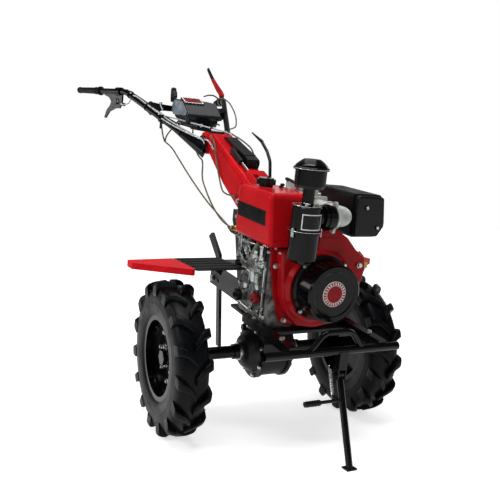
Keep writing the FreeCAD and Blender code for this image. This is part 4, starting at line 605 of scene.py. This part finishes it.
DELIVERY = [(-24, 0), (-24, 7), (-20, 8.5), (-8, 8.5), (-7, 7), (-4, 7), (-3, 9.5), (5, 9.5),
            (6, 7), (9, 7), (10, 9), (20, 9), (22, 6), (24, 6), (24, 0)]
unions = [spun(DELIVERY, (151, -137, 284), (-0.21, 0, 0.98), 24),
          spun([(-17, 0), (-17, 6.5), (10, 6.5), (11, 9), (17, 9), (18, 5), (18, 0)],
               (160, -134, 380), UP, 24),
          spun([(-13, 0), (-13, 10), (-4, 10), (-3, 6), (-3, 0)], (160, -134, 368), UP, 24,
               six_sided),
          hose([(11, -140, 396), (12, -141, 375), (17, -141, 356)], 2.4, 16, 10),
          carried(loop((18, -141, 344), (8.5, 0, 0), (0, 0, 12), 36), 3, 8, True),
          spun(disc(5, -6, 6), (18, -139, 344), RIGHT, 20),
          hose([(44, -128, 392), (78, -136, 372), (104, -132, 352), (122, -128, 352)], 1.8, 30, 8),
          hose([(160, -134, 398), (172, -136, 402), (186, -130, 398)], 2.6, 20, 8),
          coil((24, -132, 372), (62, -131, 342), 4.2, 0.9, 11),
          spun([(0, 0), (0, 8), (5, 8), (6, 6), (6, 0)], (-25, -122, 322), RIGHT, 24, six_sided),
          spun([(0, 0), (0, 9), (4, 9), (4, 5), (16, 5), (17, 3), (17, 0)], (40, -126, 318), RIGHT,
               24),
          spun([(-2, 0), (-2, 12), (3, 12), (3, 8), (12, 8), (12, 0)], (60, -126, 366), RIGHT, 24)]
fitted("pump_unions", unions, zinc_plate)
hoses = [hose([(134, -134, 400), (122, -138, 379), (106, -140, 352), (90, -136, 331),
               (84, -124, 318)], 7, 40, 14),
         hose([(58, -124, 398), (50, -130, 384), (46, -130, 366), (50, -122, 350)], 5, 30, 12)]
fitted("fuel_hoses", hoses, grey_hose)
# The back plate is painted shade: a black sheet where the recess under the tank lies in shadow.
shade_plate_and_trim = [plate(rounded(158, 68, 4), (84, -118.2, 365), FRONT, UP, 1.6, 0.5),
        spun([(-9, 0), (-9, 13), (9, 13), (11, 10), (11, 0)], (88, -128, 388), RIGHT, 28),
        hose([(2, -126, 396), (-4, -124, 368), (4, -124, 336), (0, -122, 310)], 4.5, 30, 10),
        hose([(172, -128, 396), (172, -130, 372), (170, -126, 352)], 5, 20, 12),
        spun([(0, 0), (0, 12), (10, 12), (13, 9), (13, 0)], (36, -126, 346), RIGHT, 28),
        plate(rounded(44, 26, 5), (64, -126, 268), FRONT, UP, 4, 1)]
fitted("pump_trim_and_painted_shade", shade_plate_and_trim, black_enamel)

# ---------------------------------------------------------------- the engine's left side
# Two grey return hoses that loop out from the block, a zinc-plated pipe and two unions beside
# them, and the bolts of the left cover.

hoses = [hose([(150, 150, 392), (164, 178, 366), (172, 187, 330), (166, 184, 298),
               (150, 160, 282), (146, 148, 280)], 5, 50, 12),
         hose([(60, 148, 300), (66, 166, 300), (96, 172, 306), (120, 160, 318), (124, 148, 320)],
              4, 40, 12)]
fitted("return_hoses", hoses, grey_hose)
LEFT_FACE = 150
LEFT_BOLTS = ((24, 196), (86, 186), (150, 200), (24, 270), (150, 262), (40, 318), (110, 316))
plated = bolts([(ahead, LEFT_FACE, up) for ahead, up in LEFT_BOLTS], LEFT, 11)
plated += [spun(disc(8.5, -8, 8), (171, 187, 322), (0, 0.1, 1), 24, six_sided),
           spun([(0, 0), (0, 12), (6, 12), (6, 7), (16, 7), (16, 0)], (60, 148, 300), LEFT, 24),
           hose([(182, 152, 372), (186, 176, 366), (188, 182, 338), (184, 170, 312)], 2.4, 24, 8)]
fitted("left_side_bolts", plated, zinc_plate)

# ---------------------------------------------------------------- taps, breather and small levers
# Yellow-passivated fuel taps under the tank and a union on the left, a moulded breather hose
# over the rocker cover, and the decompression lever with the nuts beside it.

# Yellow zinc plate: a warm brassy metal, duller in its patches.
yellow_zinc = coat("yellow_zinc_plate", "c9a45a", "8f7338", 10, 1.0, 0.04, 0.24, 0.42, metallic=0.9)

tap = [(-14, 0), (-14, 5), (-6, 5), (-6, 8), (6, 8), (6, 5), (14, 5), (15, 3), (15, 0)]
handle = [(-8, 0), (-8, 4), (12, 4), (13, 6), (18, 6), (19, 0)]
taps = []
for ahead, up in ((-113, 394), (-71, 391)):
    taps += [spun(tap, (ahead, -100, up), (0.8, -0.3, 0.5), 20),
             spun(handle, (ahead, -100, up), (0.1, -1, 0.2), 20)]
fitted("fuel_tap", taps, yellow_zinc)
union = [hose([(196, 188, 386), (208, 203, 364), (210, 206, 334), (202, 197, 304), (188, 186, 294)],
              3, 40, 10),
         spun(disc(7.5, -9, 9), (210, 206, 346), UP, 24, six_sided),
         spun([(0, 0), (0, 9), (5, 9), (5, 6), (14, 6), (14, 0)], (196, 186, 316), LEFT, 24)]
fitted("side_union", union, yellow_zinc)
breather = [hose([(-12, 30, 568), (-13, 22, 577), (0, 13, 581), (30, 10, 580), (58, 12, 575),
                  (66, 14, 568)], 5, 50, 12),
            spun([(-2, 0), (-2, 10), (4, 10), (4, 7), (10, 7), (12, 5), (12, 0)], (64, -36, 561),
                 UP, 24),
            spun([(0, 0), (0, 13), (8, 13), (11, 10), (11, 0)], (30, 56, 570), UP, 32)]
fitted("breather_hose", breather, moulded_black)
lever = [spun(disc(8, 0, 10), (96, 10, 556), RIGHT, 24),
         plate(rounded(12, 46, 5), (104, -2, 566), (0.8, 0, -0.6), (0.6, 0, 0.8), 4, 1.2)]
lever += bolts([(-8, 66, ROCKER_TOP), (92, 30, ROCKER_TOP)], UP, 13, 9)
lever += bolts([(94, -44, 561)], UP, 11, 7)
fitted("decompression_lever", lever, zinc_plate)

# ---------------------------------------------------------------- cowl, starter and badge
# The fan cowl is pressed steel in a darker red than the tank's enamel, partly its own tone and
# partly painted shade for its faces turned down and forward; it is bolted on with a thin black strip
# along its edge; the recoil starter's black cup carries a plain red badge in a white ring with even
# white marks.

# Darker red enamel, partly painted shade for the cowl's faces turned down and forward: deep and
# glossy, so that lamps draw clean highlights on it.
shade_darkened_red = coat("red_enamel_darkened_by_shade", "b01118", "900c13", 110, 4.5, 0.04, 0.1, 0.2, 0.14)
# White enamel: a clean half-gloss white.
white_enamel = coat("white_badge_enamel", "f2f1ee", "dedcd8", 12, 1, 0.02, 0.3, 0.4)
dress(shade_darkened_red, "flywheel_shroud")
dress(rim_enamel, "recoil_starter")

CRANK = np.array((0, 26, 290))
BADGE = CRANK + (330, -2, 2)
# A thin black strip along the cowl's edge, against the block's face.
cowl_edge_strip = plate(rounded(10, 224, 1), (186, -124.5, 290), FRONT, UP, 1.6, 0.5)
fitted("black_cowl_edge_strip", [cowl_edge_strip], moulded_black)
heads = bolts([(203, -107, 346), (203, -62, 176), (240, 150, 222), (240, 164, 352)], FRONT, 13)
heads += bolts([CRANK + (262, 97 * np.cos(turn), 97 * np.sin(turn)) for turn in around(4, 45)],
               FRONT, 9)
fitted("cowl_bolts", heads, zinc_plate)
dish = [(-3, 0), (-3, 38), (0.6, 38), (1.2, 37), (1.2, 0)]
fitted("badge_disc", [spun(dish, BADGE, FRONT, 72)], white_enamel)
# The heart takes the cowl's red, which is darkened in part as painted shade.
heart = [(1.2, 36.4), (1.7, 36), (1.7, 0)]
fitted("badge_heart", [spun(heart, BADGE, FRONT, 72)], shade_darkened_red)
circle = [(1.5, 25.6), (2.1, 25.6), (2.1, 27), (1.5, 27), (1.5, 25.6)]
marks = [spun(circle, BADGE, FRONT, 64)]
for turn in around(24):
    out = np.array((0, np.cos(turn), np.sin(turn)))
    marks.append(plate(rounded(3.6, 7, 0.8, 16), BADGE + out * 31.5 + (1.5, 0, 0),
                       np.cross(out, FRONT), out, 0.7, 0.2))
fitted("badge_marks", marks, white_enamel)

# ---------------------------------------------------------------- fuel tank
# A deep-drawn steel tank in a brighter red enamel than the cowl's, whose darker red is partly
# painted shade, with a black ribbed cap; its right side carries a plain black plate with a raised
# panel, cut on a slant.


def leaning(outline, lean):
    """The outline sheared so that its upper edge leans by lean."""
    return outline + np.stack((outline[:, 1] * lean, 0 * outline[:, 1]), -1)


# Red enamel: bright, with a smooth gleam and hardly any grain.
red_enamel = coat("glossy_red_enamel", "c9141c", "b00d15", 130, 4.5, 0.04, 0.12, 0.22, 0.1)
dress(red_enamel, "fuel_tank")
dress(rim_enamel, "fuel_cap")

for name, outline, across, thick, bevel, material in (
        ("tank_side_plate", rounded(192, 45, 2.5), -151, 1.0, 0.4, black_enamel),
        ("tank_plate_panel", rounded(182, 36, 2), -152, 0.6, 0.3, rim_enamel)):
    panel = plate(leaning(outline, -0.1), (97, across, 485), FRONT, UP, thick, bevel)
    fitted(name, [panel], material)

# ---------------------------------------------------------------- air filter and pre-cleaner
# A black enamelled canister with a clamping band and a plain plate framed in white; the
# pre-cleaner's bowl stands on its neck, under a domed lid.

dress(rim_enamel, "air_filter", "pre_cleaner")
FILTER = np.array((298, -80, 384))    # the canister's foot, on its axis
FILTER_RADIUS = 42
PLATE_TURN = math.radians(-2)         # where its plate's middle is, from straight ahead


def wrapped(wide, tall, shift, up, lift):
    """A thin plate bent round the canister: its four-cornered section carried round the axis.

    A place's angle is the plate's turn + its distance along the plate / the canister's radius.
    """
    angle = PLATE_TURN + (shift + np.linspace(-wide / 2, wide / 2, 24)) / FILTER_RADIUS
    section = np.array([(0, -tall), (lift, -tall), (lift, tall), (0, tall)]) / (1, 2)
    reach = FILTER_RADIUS - 0.2 + section[None, :, 0]
    points = np.stack((FILTER[0] + reach * np.cos(angle)[:, None],
                       FILTER[1] + reach * np.sin(angle)[:, None],
                       FILTER[2] + up + section[None, :, 1] + 0 * angle[:, None]), -1)
    ends = [end.mean(axis=1, keepdims=True) + 0 * end for end in (points[:1], points[-1:])]
    return np.concatenate((ends[0], points, ends[1])), False, True


fitted("filter_plate", [wrapped(66, 44, 0, 118, 0.9)], black_enamel)
BORDER = ((64, 2.8, 0, 138.5), (64, 2.8, 0, 97.5), (2.6, 43, -30.7, 118), (2.6, 43, 30.7, 118))
border = [wrapped(*bar, 1.5) for bar in BORDER]
fitted("filter_plate_frame", border, white_enamel)
dome = [(-3, 47), (3, 46), (8, 42), (13, 36), (18, 29.5), (21, 25), (22.5, 22), (23, 0)]
fitted("precleaner_dome", [spun(dome, FILTER + (0, 0, 265), UP, 56)], rim_enamel)
# Three bright metal beads round the canister and the bowl's rim are painted highlights, where those
# edges catch the light.
highlight_beads = [carried(loop(FILTER + (0, 0, up), (wide, 0, 0), (0, wide, 0), 72), wire, 8, True)
         for wide, up, wire in ((50.2, 261.5, 0.9), (46.6, 89.5, 0.8), (40.6, 160.1, 0.7))]
fitted("filter_highlight_rims", highlight_beads, machined)
clips = []
for turn in np.radians((-75, 75, 180)):
    out = np.array((np.cos(turn), np.sin(turn), 0))
    clips.append(plate(rounded(9, 26, 2.5), FILTER + out * 46.4 + (0, 0, 85), np.cross(UP, out),
                       UP, 2.4, 0.8))
clips += [spun([(0, 0), (0, 5), (4, 5), (8, 3.5), (9, 0)], FILTER + (20, -14, 160), UP, 20),
          plate(rounded(24, 6, 2.5), FILTER + (20, -14, 166), (1, 0.4, 0), (-0.4, 1, 0), 2, 0.6)]
clips += bolts([FILTER + (-24, 14, 160)], UP, 10, 7) + bolts([FILTER + (18, 20, 160)], UP, 10)
fitted("filter_clips", clips, zinc_plate)

# ---------------------------------------------------------------- silencer
# Folded and pressed steel in heat-proof black, with slots along its top, two bright bolts
# through its front cover and three along its side.

# Heat-proof paint: a flat black that goes slightly grey where it is burnt.
heat_black = coat("heat_proof_black", "0e0f10", "070708", 40, 1.5, 0.14, 0.28, 0.48, 0.3)
dress(heat_black, "muffler")
heads = bolts([(152, 230, 516), (152, 279, 452)], FRONT, 10)
heads += bolts([(ahead, 306, 480) for ahead in (-70, 20, 110)], LEFT, 9)
fitted("silencer_bolts", heads, zinc_plate)

# ---------------------------------------------------------------- base rails, bumper and stand
# Welded tube and channel in satin black, the tubes left open at their ends; the folding stand
# hangs from the crossbar and is held by a bright coil spring.

dress(black_enamel, "base_rail_right", "base_rail_left", "bumper_crossbar", "bumper_hoop",
      "stand_post", "stand_leg")
dress(moulded_black, "stand_pedal")
heads = bolts([(ahead, across, 167) for across in (-133, 165) for ahead in (150, 330)], UP, 13)
fitted("rail_bolts", heads, zinc_plate)

low, high = (np.array(corner) * 1000 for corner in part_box("stand_spring"))
foot = np.array((high[0] - 5, low[1] + 5, low[2] + 1.5))
peak = np.array((low[0] + 5, low[1] + 5, high[2] - 3))
spring = fitted("stand_spring_coil", [coil(foot, peak, 4.3, 1.15, 30)], machined,
                "stand", lambda points: points / 1000)
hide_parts("stand_spring")

# ---------------------------------------------------------------- handle column and arms
# The deep-pressed red column ends in a rounded head; two black tubes flare out of round flanges
# at its sides and carry rubber grips.

# Grip rubber: soft, matt and even.
grip_rubber = coat("soft_grip_rubber", "101112", "08090a", 30, 1.4, 0.2, 0.45, 0.66, 0.3)
# Chrome: a mirror with hardly a mark.
chrome = coat("bright_rod_chrome", "e6e8e9", "c6c9cb", 30, 2, 0.01, 0.08, 0.16, metallic=1.0)
dress(red_enamel, "handle_column", "column_cap", "gear_gate")
dress(black_enamel, "handlebar_right", "handlebar_left", "console_bracket")
dress(rim_enamel, "squeeze_lever")
dress(grip_rubber, "grip_right", "grip_left", "rod_sleeve")
dress(moulded_black, "shift_lever", "aux_shift_lever", "cable_guard")
dress(chrome, "selector_rod")
COLUMN_BOLTS = ((-150, 480), (-150, 450), (-230, 470))
heads = []
for side in SIDES.values():
    heads += bolts([(-593, side * 58, 636)], (0, side, 0), 19, 9)
    heads += bolts([(ahead, side * 45, up) for ahead, up in COLUMN_BOLTS], (0, side, 0), 13)
fitted("column_bolts", heads, zinc_plate)

# ---------------------------------------------------------------- console
# A moulded control box; the pale grey sheet on its right side is a painted highlight where that face
# catches the light. On its sloping lid a pad carries a plain red plate in a white frame, and a
# shaped knob stands behind it.

# Console plastic: near black, with a hint of blue and a long gleam along its edges.
console_gloss = coat("glossy_console_plastic", "161b1f", "0d1114", 90, 2.4, 0.012, 0.24, 0.36, 0.3)
# Painted highlight: a cool pale grey with a soft shine, laid on the console's right face.
painted_highlight_grey = coat("pale_grey_painted_highlight", "8f9aa5", "626c75", 40, 2, 0.05, 0.28, 0.42)
dress(console_gloss, "console")
HIGHLIGHT_OUTLINE = np.array([(-88, -16), (-66, -30), (88, -28), (96, -14), (40, 26), (-62, 31), (-84, 14)])
# The console's right face carries this pale sheet as a painted highlight.
panel = plate(HIGHLIGHT_OUTLINE, (-796, -88, 768), FRONT, UP, 1.2, 0.4)
fitted("console_side_highlight", [panel], painted_highlight_grey)
PAD_TOP = np.array((-769, -40, 801))
PAD_UP, PAD_OUT = (-0.942, 0, 0.334), np.array((0.334, 0, 0.942))
for name, outline, lift, thick, bevel, material, slot in (
        ("console_pad", rounded(88, 66, 7), -14, 14, 1.5, console_gloss, "black_plastic"),
        ("console_plate_frame", rounded(82, 58, 5), -0.2, 1.2, 0.4, white_enamel, "zinc_steel"),
        ("console_plate", rounded(73, 49, 3.5), 0.3, 1.2, 0.4, red_plastic, "red_paint")):
    layer = plate(outline, PAD_TOP + PAD_OUT * lift, LEFT, PAD_UP, thick, bevel)
    fitted(name, [layer], material)
blade = [(-34, 0), (-34, 8), (-20, 10.5), (4, 11.5), (18, 12.2), (24, 10.5), (27, 6), (28, 0)]
fitted("console_knob", [spun(blade, (-921, -74, 822), (0.12, 0, 1), 28)], moulded_black)

# ---------------------------------------------------------------- clutch lever
# Pressed steel in red enamel: its upper third is dipped in black plastic, and the perch at its
# foot and the thin trigger beside it are black.

# The enamel shines softly, and gives way to near black above, below and to the right.
dipped = coat("dipped_lever", "c2141c", "9c0c13", 60, 3, 0.05, 0.2, 0.34, 0.25)
low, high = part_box("clutch_lever")
dip_foot, perch_top = (low[2] + share * (high[2] - low[2]) for share in (0.7, 0.21))
TRIGGER_SIDE = 0.2575
tree = dipped.node_tree
surface = tree.nodes["Principled BSDF"]
spot = add(tree, "ShaderNodeTexCoord").outputs["Object"]
axes = add(tree, "ShaderNodeSeparateXYZ", {0: spot})
above = add(tree, "ShaderNodeMath", {0: axes.outputs[2], 1: dip_foot}, operation="GREATER_THAN")
below = add(tree, "ShaderNodeMath", {0: axes.outputs[2], 1: perch_top}, operation="LESS_THAN")
beside = add(tree, "ShaderNodeMath", {0: axes.outputs[1], 1: TRIGGER_SIDE}, operation="LESS_THAN")
ends = add(tree, "ShaderNodeMath", {0: above.outputs[0], 1: below.outputs[0]}, operation="MAXIMUM")
black = add(tree, "ShaderNodeMath", {0: ends.outputs[0], 1: beside.outputs[0]}, operation="MAXIMUM")
red = surface.inputs["Base Color"].links[0].from_socket
both = add(tree, "ShaderNodeMix", {0: black.outputs[0], 6: red, 7: linear("0d0e0f")},
           data_type="RGBA")
tree.links.new(both.outputs[2], surface.inputs["Base Color"])
dress(dipped, "clutch_lever")

# ---------------------------------------------------------------- platforms, hitch and stake
# Black step plates with raised bars, red pressed outer panels, and the hitch box at the back
# that clamps a flat drag stake.

# Step paint: black rubbed to a dusty grey by boots.
step_black = coat("worn_step_paint", "2a2c2b", "101112", 26, 2, 0.3, 0.42, 0.64, 0.12)
# Satin red: brighter and flatter than the tank's enamel.
pressed_red = coat("satin_red_enamel", "dc1620", "c20f18", 90, 3, 0.06, 0.42, 0.58, 0.06)
dress(step_black, "platform_right", "platform_left")
dress(pressed_red, "fender_right", "fender_left")
dress(black_enamel, "platform_bracket_right", "platform_bracket_left", "hitch_bracket",
      "depth_stake")
dress(zinc_plate, "stake_clamp")

# ---------------------------------------------------------------- cables
# Olive sheathed control cables clipped along the column, and more along the right arm: bright
# braided ones, pale by painted reflection and, along the arm's top, standing in for the highlight
# there, and black ones, with crimped zinc ferrules, bands and a clamp.

ARM_WAY = (-538, -183, 199)


def by_arm(share, up=0, out=0):
    """A place by the right arm's straight run: root + share of the run, then up, then outwards."""
    return -557 - 538 * share, -(55 + 183 * share + out), 614 + 199 * share + up


# Cable sheath: a dull olive, darker where it is handled.
cable_sheath = coat("olive_cable_sheath", "6e6650", "463f30", 20, 1.5, 0.08, 0.4, 0.6, 0.3)
# Braided steel: a pale, broken tone painted into its base colour as reflection, in place of a
# metal's sparkle.
braid_painted_sparkle = coat("braided_sheath_painted_sparkle", "d4d6d6", "83878a", 8, 1.2, 0.2, 0.3, 0.5)
dress(cable_sheath, "control_cables")

choke = hose([by_arm(0.5, 8, 13), by_arm(0.4, 10, 12), by_arm(0.28, 16, 10), by_arm(0.14, 26, 6),
              by_arm(0.04, 34, 0), (-556, -58, 640)], 2.6, 60, 8)
fitted("choke_cable", [choke], braid_painted_sparkle)
throttle = hose([(-1094, -242, 757), (-1062, -230, 766), by_arm(0.86, 14, 6), by_arm(0.7, 15, 3),
                 by_arm(0.5, 15, 2), by_arm(0.36, 17, 0), by_arm(0.2, 24, -4), by_arm(0.06, 32, -8),
                 (-540, -52, 655), (-500, -50, 640)], 3, 90, 10)
fitted("throttle_cable", [throttle], braid_painted_sparkle)
lower = [hose([by_arm(0.64, 16, 4), by_arm(0.5, 17, -6), (-790, -104, 722), (-700, -62, 712),
               (-620, -20, 702), (-560, 20, 694), (-520, 40, 684)], 3, 60, 10),
         hose([(-944, -120, 778), (-930, -126, 770), (-916, -120, 752)], 2.6, 20, 8)]
fitted("throttle_cable_low", lower, braid_painted_sparkle)
cables = [hose([by_arm(0.97, 15, 5), by_arm(0.8, 17, -4), by_arm(0.6, 16, -6), by_arm(0.46, 14, -12),
                (-800, -112, 712), (-770, -100, 704), (-700, -80, 698), (-640, -60, 690)],
               3.2, 70, 10),
          hose([(-700, 60, 712), (-660, 30, 716), (-610, -10, 704), (-570, -34, 696)], 3.2, 40, 10)]
band = [(-3, 12.4), (-3, 17), (3, 17), (3, 12.4), (-3, 12.4)]
cables += [spun(band, by_arm(share, 3), ARM_WAY, 24) for share in (0.93, 0.7, 0.26)]
fitted("arm_cables", cables, moulded_black)
FERRULE = [(0, 0), (0, 4.6), (12, 4.6), (13, 3.8), (20, 3.8), (21, 5), (26, 5), (27, 0)]
CABLE_ENDS = (((-1090, -242, 757), (-0.95, -0.3, 0)), ((-500, -50, 640), (0.8, 0, -0.6)),
              ((-851, -64, 716), DOWN), ((-160, -74, 374), (-0.95, 0, 0.3)),
              ((-164, -62, 376), (-0.95, 0, 0.3)))
tips = [spun(FERRULE, place, way, 16) for place, way in CABLE_ENDS]
tips += [spun(disc(9, -9, 9), (-1150, -254, 770), RIGHT, 20),
         spun(disc(6, -13, 13), (-1175, 268, 822), LEFT, 16)]
tips += bolts([by_arm(share, 16, 8) for share in (0.9, 0.52)], (0, -0.4, 1), 9)
tips += bolts([(-720, -35, 706), (-660, -35, 706)], RIGHT, 11)
tips += bolts([(-944, -165, 776), (-944, -120, 776)], UP, 11)
fitted("cable_ferrules", tips, zinc_plate)
drop = hose([by_arm(0.5, -12), (-838, -146, 694), (-852, -136, 664), (-858, -128, 640),
             (-842, -125, 621)], 3.2, 30, 10)
fitted("clutch_cable_drop", [drop], cable_sheath)
collar = [(-8, 12.4), (-8, 18), (8, 18), (8, 12.4), (-8, 12.4)]
clamp = [spun(collar, by_arm(0.5), ARM_WAY, 28),
         plate(rounded(14, 30, 3), by_arm(0.5, -24, 4), FRONT, UP, 5, 1)]
fitted("arm_clamp", clamp, black_enamel)
